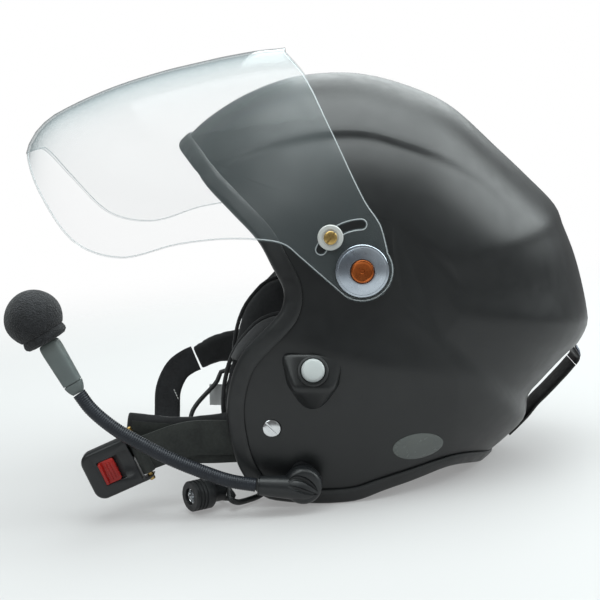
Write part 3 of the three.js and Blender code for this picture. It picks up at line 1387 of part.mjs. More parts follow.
const leftGrommet = grommetAt(leftGrommetDegrees, grommetHalfWidth);
const rightGrommet = grommetAt(rightGrommetDegrees, -grommetHalfWidth);
addPiece('lead_grommet_left', leftGrommet.body, rubberBlack);
addPiece('lead_grommet_right', rightGrommet.body, rubberBlack);
const leadRear = socketMiddle.y + socketRear + seatGap;
const leftEnd = new THREE.Vector3(socketMiddle.x + leftLeadRadius + seatGap / 2, leadRear, socketMiddle.z);
const rightEnd = new THREE.Vector3(socketMiddle.x - rightLeadRadius - seatGap, leadRear, socketMiddle.z);
addPiece('lead_left', leadBody(leftLeadRadius, leftGrommet, leftLeadShares, leftEnd, 8), rubberBlack);
addPiece('lead_right', leadBody(rightLeadRadius, rightGrommet, rightLeadShares, rightEnd, 8), rubberBlack);

// Goggle-strap retainer: a band over the back, held by a rivet and a snap stud
const retainerCurve = new THREE.CatmullRomCurve3(retainerShares.map(place), false, 'centripetal');
const retainerStart = retainerCurve.getTangentAt(0);
const retainerFlat = new THREE.Vector3(0, retainerStart.z, -retainerStart.y).multiplyScalar(-1);
const studSpot = retainerCurve.getPointAt(studShare);
const studAhead = retainerCurve.getTangentAt(studShare);
const studOut = new THREE.Vector3(0, -studAhead.z, studAhead.y);
const rivetSpot = retainerCurve.getPointAt(retainerFoldShare / 2);
const rivetAhead = retainerCurve.getTangentAt(retainerFoldShare / 2);
const rivetOut = new THREE.Vector3(0, -rivetAhead.z, rivetAhead.y);

function snapHead(radius) {
  return turned([[0, 0], [radius, 0], [radius, rivetHeight / 2], [radius * 0.6, rivetHeight], [0, rivetHeight]], 20);
}

const studHole = seatedAlong(rod(studPinRadius + studFit, -retainerWidth, retainerWidth, 12), studSpot, studOut);
const foldGap = seatGap / retainerCurve.getLength();
const tab = [retainerShares, retainerWidth, retainerWidth, retainerThickness];
addPiece('goggle_strap_tab', ribbon(...tab, 2, retainerFlat, 0, retainerFoldShare - foldGap), clothBlack);
const foldAhead = retainerCurve.getTangentAt(retainerFoldShare);
const foldFlat = new THREE.Vector3(0, -foldAhead.z, foldAhead.y);
const retainer = ribbon(...tab, 12, foldFlat, retainerFoldShare + foldGap, 1);
addPiece('goggle_strap', cut(retainer, studHole), clothBlack);
const overBand = retainerThickness / 2 + seatGap;
addPiece('goggle_strap_rivet', seatedAlong(snapHead(rivetRadius), rivetSpot.clone().addScaledVector(rivetOut, overBand), rivetOut), steelDark);
addPiece('snap_cap', seatedAlong(snapHead(rivetRadius), studSpot.clone().addScaledVector(studOut, overBand), studOut), steelDark);
const studPlain = join(rod(studRadius, -retainerWidth / 2, -overBand, 20), rod(studPinRadius, -retainerWidth / 2, retainerThickness / 3, 12));
addPiece('snap_stud', cut(seatedAlong(studPlain, studSpot, studOut), shellBlank(blankStand)), steelDark);

// Care label
const labelFrom = padRimPoint(labelDegrees, -4 * seatGap, -grommetHalfWidth);
addPiece('care_label', tidyBody(new THREE.BoxGeometry(labelThickness, labelLength, labelHeight)
  .translate(labelFrom.x, labelFrom.y - labelLength / 2, labelFrom.z)), nylonWhite);

// Standing place: the ground at zero and the box over it centred, the loose leads left out
const looseNames = ['lead_left', 'lead_right', 'jack_socket', 'socket_sleeve', 'lead_grommet_left', 'lead_grommet_right'];
for (const mesh of helmet.children) {
  mesh.geometry.translate(0, 0, -groundAt(0)).rotateX(-restAngle);
}
const box = new THREE.Box3();
for (const mesh of helmet.children) {
  if (!looseNames.includes(mesh.name)) box.expandByObject(mesh);
}
helmet.position.set(-(box.min.x + box.max.x) / 2, -(box.min.y + box.max.y) / 2, 0);

export default helmet;
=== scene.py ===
import bisect
import math
import bpy
from mathutils import Matrix, Vector
from mathutils.bvhtree import BVHTree


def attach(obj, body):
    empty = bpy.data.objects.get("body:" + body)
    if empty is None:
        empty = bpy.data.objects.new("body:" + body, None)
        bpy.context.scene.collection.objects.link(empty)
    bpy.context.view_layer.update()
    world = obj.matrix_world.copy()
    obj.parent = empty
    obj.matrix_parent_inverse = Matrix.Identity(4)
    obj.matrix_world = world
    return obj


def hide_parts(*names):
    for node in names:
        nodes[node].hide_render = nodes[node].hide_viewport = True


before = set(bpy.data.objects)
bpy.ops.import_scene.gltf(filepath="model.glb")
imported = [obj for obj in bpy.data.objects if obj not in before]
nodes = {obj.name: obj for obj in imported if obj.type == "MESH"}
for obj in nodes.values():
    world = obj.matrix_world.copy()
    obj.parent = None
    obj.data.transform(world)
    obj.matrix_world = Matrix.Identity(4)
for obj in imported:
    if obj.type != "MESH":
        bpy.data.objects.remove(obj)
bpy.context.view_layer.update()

# Places follow the helmet's own layout: back, up and side from the point between the ears.
layout = {
    "length": 0.288, "halfWidth": 0.118, "wall": 0.004, "lean": -0.0715585, "ground": -0.1475021,
    "shift": (-0.0036778, 0.0340423, 0.0),
}


def restPlace():
    # Where the laid-out helmet stands in the row frame.
    lean = Matrix.Rotation(layout["lean"], 4, "X")
    lift = Matrix.Translation((0, 0, -layout["ground"]))
    return Matrix.Translation(layout["shift"]) @ lean @ lift


def mm(value):
    return value / 1000


def spot(shares):
    back, up, side = (tuple(shares) + (0,))[:3]
    return Vector((side * layout["halfWidth"], back * layout["length"], up * layout["length"]))


def clamp(value):
    return max(0.0, min(1.0, value))


axisX = Vector((1, 0, 0))


# curves

def hermite(a, b, startSlope, endSlope, t):
    c2 = -3 * a + 3 * b - 2 * startSlope - endSlope
    c3 = 2 * a - 2 * b + startSlope + endSlope
    return a + startSlope * t + c2 * t * t + c3 * t * t * t


def splinePoints(points, perSpan, closed=False, centripetal=True):
    # A smooth line through the points.
    count = len(points)
    spans = count if closed else count - 1
    line = []
    for i in range(spans):
        p1, p2 = points[i], points[(i + 1) % count]
        p0 = points[i - 1] if (i > 0 or closed) else p1 * 2 - p2
        p3 = points[(i + 2) % count] if (i + 2 < count or closed) else p2 * 2 - p1
        if centripetal:
            d0, d1, d2 = ((b - a).length ** 0.5 for a, b in ((p0, p1), (p1, p2), (p2, p3)))
            d1 = d1 if d1 > 1e-6 else 1.0
            d0 = d0 if d0 > 1e-6 else d1
            d2 = d2 if d2 > 1e-6 else d1
            startSlope = ((p1 - p0) / d0 - (p2 - p0) / (d0 + d1) + (p2 - p1) / d1) * d1
            endSlope = ((p2 - p1) / d1 - (p3 - p1) / (d1 + d2) + (p3 - p2) / d2) * d1
        else:
            startSlope, endSlope = (p2 - p0) * 0.5, (p3 - p1) * 0.5
        for step in range(perSpan):
            line.append(hermite(p1, p2, startSlope, endSlope, step / perSpan))
    if not closed:
        line.append(points[-1].copy())
    return line


def otherSide(points):
    return [Vector((-p.x, p.y, p.z)) for p in points]


def runLengths(line):
    run = [0.0]
    for a, b in zip(line, line[1:]):
        run.append(run[-1] + (b - a).length)
    return run


def alongLine(line, run, share):
    wanted = run[-1] * clamp(share)
    high = max(1, min(len(run) - 1, bisect.bisect_left(run, wanted)))
    span = run[high] - run[high - 1]
    return line[high - 1].lerp(line[high], (wanted - run[high - 1]) / span if span else 0)


def heading(line, run, share, step):
    return (alongLine(line, run, share + step) - alongLine(line, run, share - step)).normalized()


def evenly(line, count):
    run = runLengths(line)
    return [alongLine(line, run, i / count) for i in range(count + 1)]


# mesh helpers

def pick(obj):
    for other in bpy.context.selected_objects:
        other.select_set(False)
    obj.select_set(True)
    bpy.context.view_layer.objects.active = obj


def editAll(obj):
    pick(obj)
    bpy.ops.object.mode_set(mode="EDIT")
    bpy.ops.mesh.select_all(action="SELECT")


def editDone():
    bpy.ops.object.mode_set(mode="OBJECT")


def tidy(obj, distance=1e-6):
    editAll(obj)
    bpy.ops.mesh.remove_doubles(threshold=distance)
    bpy.ops.mesh.normals_make_consistent(inside=False)
    editDone()
    return obj


def linked(name, data):
    obj = bpy.data.objects.new(name, data)
    bpy.context.scene.collection.objects.link(obj)
    return obj


def meshPiece(name, points, faces, clean=True):
    mesh = bpy.data.meshes.new(name)
    mesh.from_pydata([tuple(p) for p in points], [], faces)
    obj = linked(name, mesh)
    if clean:
        tidy(obj)
    return obj


def skin(name, rings, loop=False):
    # A skin over rings of points, closed at its ends unless it is a loop.
    around = len(rings[0])
    points = [p for ring in rings for p in ring]
    faces = []
    spans = len(rings) if loop else len(rings) - 1
    for i in range(spans):
        here, there = i * around, ((i + 1) % len(rings)) * around
        for j in range(around):
            k = (j + 1) % around
            faces.append((here + j, there + j, there + k, here + k))
    if not loop:
        for start, flip in ((0, False), ((len(rings) - 1) * around, True)):
            middle = sum((points[start + j] for j in range(around)), Vector()) / around
            points.append(middle)
            for j in range(around):
                k = start + (j + 1) % around
                faces.append((start + j, len(points) - 1, k) if flip else (start + j, k, len(points) - 1))
    return meshPiece(name, points, faces)


def applyModifiers(obj):
    pick(obj)
    for modifier in list(obj.modifiers):
        bpy.ops.object.modifier_apply(modifier=modifier.name)
    return obj


def rounded(obj, width, segments=3, angle=30):
    bevel = obj.modifiers.new("roundedEdges", "BEVEL")
    bevel.width, bevel.segments, bevel.limit_method = width, segments, "ANGLE"
    bevel.angle_limit = math.radians(angle)
    return applyModifiers(obj)


def subdivided(obj, levels=1):
    smooth = obj.modifiers.new("subdivision", "SUBSURF")
    smooth.levels = smooth.render_levels = levels
    return applyModifiers(obj)


def carved(obj, *cutters, way="DIFFERENCE"):
    for cutter in cutters:
        boolean = obj.modifiers.new("carving", "BOOLEAN")
        boolean.operation, boolean.solver, boolean.object = way, "EXACT", cutter
        pick(obj)
        bpy.ops.object.modifier_apply(modifier=boolean.name)
        bpy.data.objects.remove(cutter)
    return obj


def smoothed(obj, angle=40):
    pick(obj)
    bpy.ops.object.shade_smooth_by_angle(angle=math.radians(angle))
    return obj


def seated(obj):
    # Moves a piece from the layout into the row frame, with its place in its mesh.
    obj.data.transform(restPlace())
    obj.data.update()
    return obj


def aimed(obj, point, direction):
    # Turns a piece made about +Z so that it stands on a point along a direction.
    turn = Vector((0, 0, 1)).rotation_difference(direction.normalized()).to_matrix().to_4x4()
    obj.data.transform(Matrix.Translation(point) @ turn)
    return obj


def turnedPiece(name, profile, steps=64):
    # A lathe-turned piece about +Z from a profile of (radius, height).
    mesh = bpy.data.meshes.new(name)
    mesh.from_pydata([(r, 0, h) for r, h in profile], [(i, i + 1) for i in range(len(profile) - 1)], [])
    obj = linked(name, mesh)
    editAll(obj)
    bpy.ops.mesh.spin(steps=steps, angle=2 * math.pi, center=(0, 0, 0), axis=(0, 0, 1))
    bpy.ops.mesh.select_all(action="SELECT")
    bpy.ops.mesh.remove_doubles(threshold=1e-6)
    bpy.ops.mesh.normals_make_consistent(inside=False)
    editDone()
    return obj


def rod(name, radius, low, high, steps):
    return turnedPiece(name, [(0, low), (radius, low), (radius, high), (0, high)], steps)


def washer(name, inner, outer, half, steps):
    return turnedPiece(name, [(inner, -half), (outer, -half), (outer, half), (inner, half), (inner, -half)],
                       steps)


def boxPiece(name, size, middle=(0, 0, 0)):
    bpy.ops.mesh.primitive_cube_add(size=1, location=(0, 0, 0))
    obj = bpy.context.object
    obj.name = name
    obj.data.transform(Matrix.Translation(middle) @ Matrix.Diagonal((*size, 1)))
    return obj


def mirroredCopy(obj, name):
    copy = obj.copy()
    copy.data = obj.data.copy()
    copy.name = name
    bpy.context.scene.collection.objects.link(copy)
    copy.data.transform(Matrix.Diagonal((-1, 1, 1, 1)))
    return tidy(copy)


def surfaceTree(obj):
    return BVHTree.FromPolygons([v.co for v in obj.data.vertices],
                                [tuple(p.vertices) for p in obj.data.polygons])


def joined(name, *pieces):
    pick(pieces[0])
    for piece in pieces[1:]:
        piece.select_set(True)
    bpy.ops.object.join()
    pieces[0].name = name
    return pieces[0]


print("helpers ready")

# camera

camera = {
    "distance": 1.0, "elevation": 10, "target": (0, -0.0491, -0.0301), "lens": 83.34,
    "sensor": 36, "frame": 600, "near": 0.01, "far": 50,
}


def photoCamera():
    rise = math.radians(camera["elevation"])
    target = Vector(camera["target"])
    eye = target + camera["distance"] * Vector((math.cos(rise), 0, math.sin(rise)))
    look = (target - eye).normalized()
    right = look.cross(Vector((0, 0, 1))).normalized()
    up = right.cross(look)
    turn = Matrix((right, up, -look)).transposed().to_4x4()
    data = bpy.data.cameras.new("photoCamera")
    data.lens, data.sensor_width = camera["lens"], camera["sensor"]
    data.clip_start, data.clip_end = camera["near"], camera["far"]
    obj = linked("photoCamera", data)
    obj.matrix_world = restPlace() @ Matrix.Translation(eye) @ turn
    bpy.context.scene.camera = obj
    return obj


photoView = photoCamera()


def pixelRay(across, down):
    # The line of sight through a place in the square frame.
    reach = camera["lens"] / camera["sensor"] * camera["frame"]
    middle = camera["frame"] / 2
    direction = Vector(((across - middle) / reach, (middle - down) / reach, -1))
    turn = photoView.matrix_world.to_3x3()
    return photoView.matrix_world.translation.copy(), (turn @ direction).normalized()


# materials

def tone(red, green, blue):
    # A colour as it is seen on the screen, from 0 to 255, for the shader.
    def linear(value):
        value /= 255
        return value / 12.92 if value <= 0.04045 else ((value + 0.055) / 1.055) ** 2.4
    return (linear(red), linear(green), linear(blue), 1.0)


def wire(tree, source, target):
    tree.links.new(source, target)


def node(tree, kind, **values):
    # A node with its settings; an input takes a value or another node's output.
    made = tree.nodes.new(kind)
    for key, value in values.items():
        if key not in made.inputs:
            setattr(made, key, value)
        elif isinstance(value, bpy.types.NodeSocket):
            wire(tree, value, made.inputs[key])
        else:
            made.inputs[key].default_value = value
    return made


def coordinates(tree, turn=(0, 0, 0), move=(0, 0, 0)):
    source = node(tree, "ShaderNodeTexCoord").outputs["Object"]
    return node(tree, "ShaderNodeMapping", Vector=source, Location=move, Rotation=turn).outputs["Vector"]


def noise(tree, vector, scale, detail=3.0, roughness=0.55):
    made = node(tree, "ShaderNodeTexNoise", Vector=vector, Scale=scale, Detail=detail, Roughness=roughness)
    return made.outputs["Fac"]


def ranged(tree, value, low, high):
    # Spreads the middle part of a noise over the wanted range.
    limits = {"From Min": 0.3, "From Max": 0.7, "To Min": low, "To Max": high}
    return node(tree, "ShaderNodeMapRange", Value=value, **limits).outputs["Result"]


def blended(tree, factor, first, second):
    made = node(tree, "ShaderNodeMix", data_type="RGBA", Factor=factor)
    made.inputs[6].default_value = first
    made.inputs[7].default_value = second
    return made.outputs[2]


def maths(tree, operation, first, second):
    made = node(tree, "ShaderNodeMath", operation=operation)
    for i, value in enumerate((first, second)):
        if isinstance(value, (int, float)):
            made.inputs[i].default_value = value
        else:
            wire(tree, value, made.inputs[i])
    return made.outputs[0]


def wave(tree, vector, scale, **settings):
    return node(tree, "ShaderNodeTexWave", Vector=vector, Scale=scale, **settings).outputs["Fac"]


def cells(tree, vector, scale, feature):
    return node(tree, "ShaderNodeTexVoronoi", Vector=vector, Scale=scale, feature=feature).outputs["Distance"]


def bumped(tree, shader, height, strength, distance):
    bump = node(tree, "ShaderNodeBump", Height=height, Strength=strength, Distance=distance)
    wire(tree, bump.outputs["Normal"], shader.inputs["Normal"])


def shaderTree(name):
    made = bpy.data.materials.new(name)
    made.use_nodes = True
    return made, made.node_tree, made.node_tree.nodes["Principled BSDF"]


def material(name, dark, light, rough, patchScale, patternScale, strength, metal=0.0, pattern="grain",
             depth=0.0002, sheen=0.0, coat=0.0, turn=(0, 0, 0), move=(0, 0, 0), anisotropic=0.0):
    # A surface with mottled colour, uneven gloss and a fine relief of its own.
    made, tree, shader = shaderTree(name)
    vector = coordinates(tree, turn, move)
    patches = noise(tree, vector, patchScale)
    wire(tree, blended(tree, ranged(tree, patches, 0, 1), tone(*dark), tone(*light)),
         shader.inputs["Base Color"])
    fine = noise(tree, vector, patchScale * 7, 4)
    low, high = rough
    wire(tree, ranged(tree, fine, low, high), shader.inputs["Roughness"])
    plain = {"Metallic": metal, "Sheen Weight": sheen, "Coat Weight": coat, "Coat Roughness": 0.25,
             "Anisotropic": anisotropic, "Specular IOR Level": 0.5}
    for name, value in plain.items():
        shader.inputs[name].default_value = value
    if pattern == "weave":
        height = maths(tree, "MAXIMUM", wave(tree, vector, patternScale, bands_direction="Y"),
                       wave(tree, vector, patternScale, bands_direction="Z"))
    elif pattern == "pores":
        height = cells(tree, vector, patternScale, "F1")
    elif pattern == "leather":
        height = cells(tree, vector, patternScale, "SMOOTH_F1")
    elif pattern == "turning":
        height = wave(tree, vector, patternScale, Distortion=1.5, wave_type="RINGS")
    else:
        height = noise(tree, vector, patternScale, 5, 0.7)
    bumped(tree, shader, height, strength, depth)
    return made


pivotPlace = spot((-0.0347, 0.0347))
pivotRow = restPlace() @ pivotPlace

# Each surface: dark tone, light tone, roughness from and to, scale of its patches, scale and strength of its
# relief, then what differs from the usual.
surfaces = {
    "shellPaint": ((21, 23, 24), (26, 28, 29), (0.34, 0.42), 14, 2600, 0.05, {"depth": 0.00005}),
    "trimRubber": ((24, 25, 26), (34, 36, 37), (0.34, 0.5), 30, 900, 0.2, {}),
    "hoseRubber": ((22, 23, 25), (32, 34, 36), (0.4, 0.58), 30, 700, 0.2, {}),
    "blackPlastic": ((26, 28, 30), (34, 36, 38), (0.3, 0.42), 30, 1800, 0.18, {"depth": 0.0001}),
    "padCloth": ((26, 27, 29), (38, 39, 41), (0.8, 0.95), 60, 420, 0.35, {"pattern": "weave", "sheen": 0.25}),
    "velvetCloth": ((14, 15, 17), (24, 25, 28), (0.85, 0.98), 160, 1600, 0.5, {"sheen": 0.5}),
    "liningCloth": ((30, 31, 34), (44, 45, 49), (0.85, 0.97), 50, 300, 0.4, {"pattern": "weave", "sheen": 0.2}),
    "linerFoam": ((52, 54, 56), (66, 68, 70), (0.8, 0.95), 40, 350, 0.5, {"pattern": "pores"}),
    "strapGrey": ((34, 37, 35), (50, 53, 50), (0.6, 0.8), 80, 330, 0.5, {"pattern": "weave", "sheen": 0.1}),
    "webbing": ((26, 27, 29), (40, 41, 44), (0.6, 0.8), 70, 260, 0.6, {"pattern": "weave"}),
    "retainerLeather": ((24, 24, 25), (34, 34, 36), (0.42, 0.6), 40, 900, 0.4, {"pattern": "leather"}),
    "stitchThread": ((205, 206, 204), (228, 229, 226), (0.6, 0.8), 30, 2400, 0.25, {}),
    "darkThread": ((18, 18, 20), (30, 30, 32), (0.6, 0.8), 30, 2400, 0.25, {}),
    "turnedDisc": ((148, 158, 170), (190, 198, 207), (0.24, 0.36), 40, 520, 0.15,
                   {"metal": 1.0, "pattern": "turning", "depth": 0.00004, "turn": (0, math.radians(90), 0),
                    "move": (pivotRow.z, -pivotRow.y, 0), "anisotropic": 0.6}),
    "bronze": ((156, 80, 38), (184, 102, 54), (0.24, 0.4), 120, 1500, 0.15, {"metal": 1.0}),
    "brass": ((172, 142, 84), (200, 170, 108), (0.24, 0.4), 150, 1500, 0.15, {"metal": 1.0}),
    "chrome": ((188, 190, 192), (222, 224, 226), (0.1, 0.22), 90, 1200, 0.08, {"metal": 1.0}),
    "darkSteel": ((72, 76, 84), (98, 102, 112), (0.28, 0.42), 90, 1300, 0.15, {"metal": 0.9}),
    "neckSteel": ((30, 33, 39), (40, 44, 51), (0.34, 0.46), 70, 1300, 0.1, {"metal": 0.35}),
    "nylon": ((200, 203, 200), (218, 220, 217), (0.4, 0.55), 30, 900, 0.12, {}),
    "buttonGrey": ((172, 178, 178), (192, 197, 196), (0.32, 0.45), 30, 1600, 0.15, {}),
    "capsuleGrey": ((98, 106, 106), (120, 128, 126), (0.36, 0.5), 30, 1700, 0.2, {}),
    "releaseRed": ((150, 18, 14), (180, 32, 24), (0.3, 0.42), 30, 1500, 0.15, {}),
    "micFoam": ((24, 25, 27), (44, 45, 48), (0.9, 1.0), 300, 900, 1.0,
                {"pattern": "pores", "depth": 0.0006, "sheen": 0.15}),
    "labelCloth": ((206, 208, 208), (222, 223, 223), (0.7, 0.85), 30, 500, 0.3, {"pattern": "weave"}),
    # A near-white tone that paints the bright highlight along the visor's polished edges.
    "paintedEdgeHighlight": ((222, 229, 232), (236, 241, 243), (0.2, 0.32), 30, 600, 0.05, {}),
    "badgePlate": ((84, 90, 88), (98, 104, 100), (0.18, 0.3), 30, 900, 0.05, {"coat": 0.5}),
}
looks = {name: material(name, *tones, **rest) for name, (*tones, rest) in surfaces.items()}


clearLook = {
    "haze": ((190, 206, 210), (200, 214, 216)), "rimTone": (52, 60, 68), "rimPower": 3.0, "edgePower": 2.8,
    "blend": 0.35, "alphaFrom": 0.05, "alphaSpan": 0.95, "rough": (0.03, 0.09), "index": 1.5,
}


def visorMaterial():
    # Clear sheet: faint and see-through face on, a grey band where it is seen along its curve.
    face, hazy = [tone(*shade) for shade in clearLook["haze"]]
    made, tree, shader = shaderTree("clearVisor")
    vector = coordinates(tree)
    haze = ranged(tree, noise(tree, vector, 9, 3), 0, 1)
    facing = node(tree, "ShaderNodeLayerWeight", Blend=clearLook["blend"]).outputs["Facing"]
    rimward = maths(tree, "POWER", facing, clearLook["rimPower"])
    clear = blended(tree, haze, face, hazy)
    shaded = blended(tree, rimward, hazy, tone(*clearLook["rimTone"]))
    wire(tree, clear, shaded.node.inputs[6])
    wire(tree, shaded, shader.inputs["Base Color"])
    wire(tree, ranged(tree, noise(tree, vector, 60, 3), *clearLook["rough"]), shader.inputs["Roughness"])
    edge = maths(tree, "POWER", facing, clearLook["edgePower"])
    alpha = maths(tree, "ADD", maths(tree, "MULTIPLY", edge, clearLook["alphaSpan"]), clearLook["alphaFrom"])
    wire(tree, alpha, shader.inputs["Alpha"])
    shader.inputs["Specular IOR Level"].default_value = 0.5
    shader.inputs["IOR"].default_value = clearLook["index"]
    bumped(tree, shader, noise(tree, vector, 40, 2), 0.03, 0.0004)
    return made


looks["clearVisor"] = visorMaterial()
# The painted edge highlight is half see-through.
looks["paintedEdgeHighlight"].node_tree.nodes["Principled BSDF"].inputs["Alpha"].default_value = 0.45
print("materials ready", len(looks))


def dressed(obj, look, body, replaced=()):
    # Gives a finished piece its material, its body and what it stands for.
    obj.data.materials.clear()
    obj.data.materials.append(looks[look])
    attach(obj, body)
    if replaced:
        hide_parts(*([replaced] if isinstance(replaced, str) else replaced))
    return obj


def finished(obj, angle, look, body, replaced=()):
    # A piece made in the layout, seated in the row frame, shaded smooth and dressed.
    return dressed(smoothed(seated(obj), angle), look, body, replaced)


# leads to the radio socket

leads = {
    "leftRadius": mm(2), "rightRadius": mm(1.8), "sides": 6, "socketShares": (-0.389, 0, 0.842),
    "socketRadius": mm(10.2), "socketTurn": 36, "socketShift": mm(5.4),
    "left": ((-0.2639, -0.5218, 0.678), (-0.2882, -0.5235, 0.7459), (-0.3160, -0.5193, 0.8262),
             (-0.3299, -0.5074, 0.8594)),
    "right": ((-0.3958, -0.3750, -0.6441), (-0.4618, -0.4514, -0.5423), (-0.4618, -0.5315, -0.4237),
              (-0.4479, -0.5357, -0.2543), (-0.4236, -0.5339, 0.0847), (-0.3958, -0.5319, 0.4662),
              (-0.3611, -0.5294, 0.6609), (-0.3316, -0.5186, 0.7542), (-0.3247, -0.5050, 0.8086)),
}


def groundAt(back):
    footed = back + 0.052 * layout["length"]
    low = layout["ground"] - 0.052 * layout["length"] * math.tan(-layout["lean"])
    return low + footed * math.tan(-layout["lean"])


def socketMiddle():
    middle = spot(leads["socketShares"]) - Vector((leads["socketShift"], 0, 0))
    middle.z = groundAt(middle.y) + mm(0.8) + leads["socketRadius"]
    return middle


def padReachTo(turn, ear, edge):
    ahead = (math.cos(turn), math.sin(turn))
    best = 1.0
    for a, b in zip(edge, edge[1:]):
        span = (b.y - a.y, b.z - a.z)
        cross = ahead[0] * span[1] - ahead[1] * span[0]
        if abs(cross) < 1e-12:
            continue
        gap = (a.y - ear.y, a.z - ear.z)
        reach = (gap[0] * span[1] - gap[1] * span[0]) / cross
        share = (gap[0] * ahead[1] - gap[1] * ahead[0]) / cross
        if reach > 0 and 0 <= share <= 1:
            best = min(best, reach)
    return best


edgeShares = [
    (-0.455, 0.290), (-0.436, 0.278), (-0.408, 0.253), (-0.373, 0.215), (-0.322, 0.169),
    (-0.254, 0.102), (-0.223, 0.049), (-0.193, -0.014), (-0.200, -0.061), (-0.223, -0.092),
    (-0.293, -0.172), (-0.318, -0.243), (-0.323, -0.318), (-0.296, -0.436), (-0.250, -0.495),
    (-0.208, -0.505), (-0.052, -0.505), (0.019, -0.483), (0.116, -0.460), (0.191, -0.446),
    (0.243, -0.456), (0.290, -0.484),
]
edgeCurve = splinePoints([spot(p) for p in edgeShares], 24)
earPlace = spot((-0.007, -0.243))

pads = {
    "face": mm(74), "bulge": mm(2), "forward": mm(16), "crown": mm(2), "inset": mm(9), "outer": mm(8.4),
    "tuck": mm(1), "rear": mm(42), "front": mm(110), "up": mm(58), "down": mm(80), "hole": mm(33.7),
    "pocketSide": mm(81), "pocketShares": (-0.146, -0.190),
}


def padReach(turn):
    wide = pads["rear"] if math.cos(turn) > 0 else pads["front"]
    tall = pads["up"] if math.sin(turn) > 0 else pads["down"]
    oval = 1 / math.hypot(math.cos(turn) / wide, math.sin(turn) / tall)
    return min(oval, padReachTo(turn, earPlace, edgeCurve) - pads["inset"])


def padSwell(turn):
    share = clamp((-math.cos(turn) - 0.7) / 0.2)
    return pads["bulge"] + pads["forward"] * share * share * (3 - 2 * share)


def padRimPoint(degrees, beyond, side):
    turn = math.radians(degrees)
    reach = padReach(turn) + padSwell(turn) + beyond
    return Vector((side, earPlace.y + reach * math.cos(turn), earPlace.z + reach * math.sin(turn)))


def leadPiece(name, radius, degrees, side, route, end):
    gap = mm(0.3)
    start, over = padRimPoint(degrees, gap, side), padRimPoint(degrees, gap + mm(6), side)
    ahead = (over - start).normalized()
    first = over + ahead * gap
    points = [first, first + ahead * 2 * radius] + [spot(p) for p in route]
    points += [end + socketTurn @ Vector((0, 2 * radius, 0)), end]
    line = [restPlace() @ p for p in evenly(splinePoints(points, 24), 64)]
    curve = bpy.data.curves.new(name, "CURVE")
    curve.dimensions = "3D"
    curve.bevel_depth, curve.bevel_resolution, curve.use_fill_caps = radius, 4, True
    spline = curve.splines.new("POLY")
    spline.points.add(len(line) - 1)
    for point, place in zip(spline.points, line):
        point.co = (*place, 1)
    return linked(name, curve), line, (start, over)


def grommetPiece(name, ends, replaced):
    start, over = ends
    r, reach = mm(3.4), (over - start).length
    profile = [(0, 0), (r, 0), (r, mm(1.2)), (r * 0.86, mm(1.7)), (r * 0.88, mm(2.6)), (r * 0.8, mm(3.1)),
               (r * 0.82, mm(4.0)), (r * 0.73, mm(4.6)), (r * 0.74, reach - mm(0.4)), (r * 0.64, reach),
               (0, reach)]
    made = aimed(turnedPiece(name, profile, 32), start, over - start)
    return finished(made, 50, "hoseRubber", "helmet", replaced)


socketTurn = Matrix.Rotation(math.radians(leads["socketTurn"]), 4, "Z")


def socketPieces():
    middle = socketMiddle()
    rear, neck, r = mm(12.5), mm(8), mm(10.2)
    # pin end forward, leads at the back
    profile = [(0, -rear), (mm(6.4), -rear), (mm(7), -rear + mm(0.6)), (mm(7), -rear + neck - mm(1)),
               (mm(7.6), -rear + neck), (r - mm(0.8), -rear + neck + mm(1.8)), (r, -rear + neck + mm(3))]
    for ring in range(3):
        base = rear - mm(9) + ring * mm(2.6)
        profile += [(r, base), (r - mm(0.8), base + mm(0.5)), (r - mm(0.8), base + mm(1.1)),
                    (r, base + mm(1.6))]
    profile += [(r, rear - mm(0.8)), (r - mm(0.8), rear), (mm(5.6), rear), (mm(5.6), rear - mm(14)),
                (0, rear - mm(14))]
    body = turnedPiece("jackSocket", profile, 56)
    tube = [(3.9, 13.7), (5.3, 13.7), (5.3, 2), (4.9, 1.5), (4.2, 1.5), (3.9, 2), (3.9, 13.7)]
    sleeve = turnedPiece("socketSleeve", [(mm(radius), rear - mm(depth)) for radius, depth in tube], 56)
    turn = Matrix.Translation(middle) @ socketTurn @ Matrix.Rotation(math.radians(90), 4, "X")
    for piece in (body, sleeve):
        piece.data.transform(turn)
        smoothed(seated(piece), 35)
    return body, sleeve


socketBody, socketSleeve = socketPieces()
dressed(socketBody, "hoseRubber", "helmet", "jack_socket")
dressed(socketSleeve, "chrome", "helmet", "socket_sleeve")
leadRear = socketMiddle() + socketTurn @ Vector((0, mm(12.5) + mm(0.3), 0))
leftEnd = leadRear + socketTurn @ Vector((leads["leftRadius"] + mm(0.15), 0, 0))
rightEnd = leadRear - socketTurn @ Vector((leads["rightRadius"] + mm(0.3), 0, 0))
leftLead, leftLine, leftEnds = leadPiece("leadLeft", leads["leftRadius"], 228, mm(79), leads["left"], leftEnd)
rightLead, rightLine, rightEnds = leadPiece("leadRight", leads["rightRadius"], 196, -mm(79), leads["right"],
                                            rightEnd)
leftGrommet = grommetPiece("leadGrommetLeft", leftEnds, "lead_grommet_left")
rightGrommet = grommetPiece("leadGrommetRight", rightEnds, "lead_grommet_right")
for lead, line, radius, replaced, extra in (
        (leftLead, leftLine, leads["leftRadius"], "lead_left", [socketBody, socketSleeve, leftGrommet]),
        (rightLead, rightLine, leads["rightRadius"], "lead_right", [rightGrommet])):
    dressed(lead, "hoseRubber", "helmet", replaced)
print("camera and leads ready")


# shell surface, the same shape as the CAD shell's at a finer grain

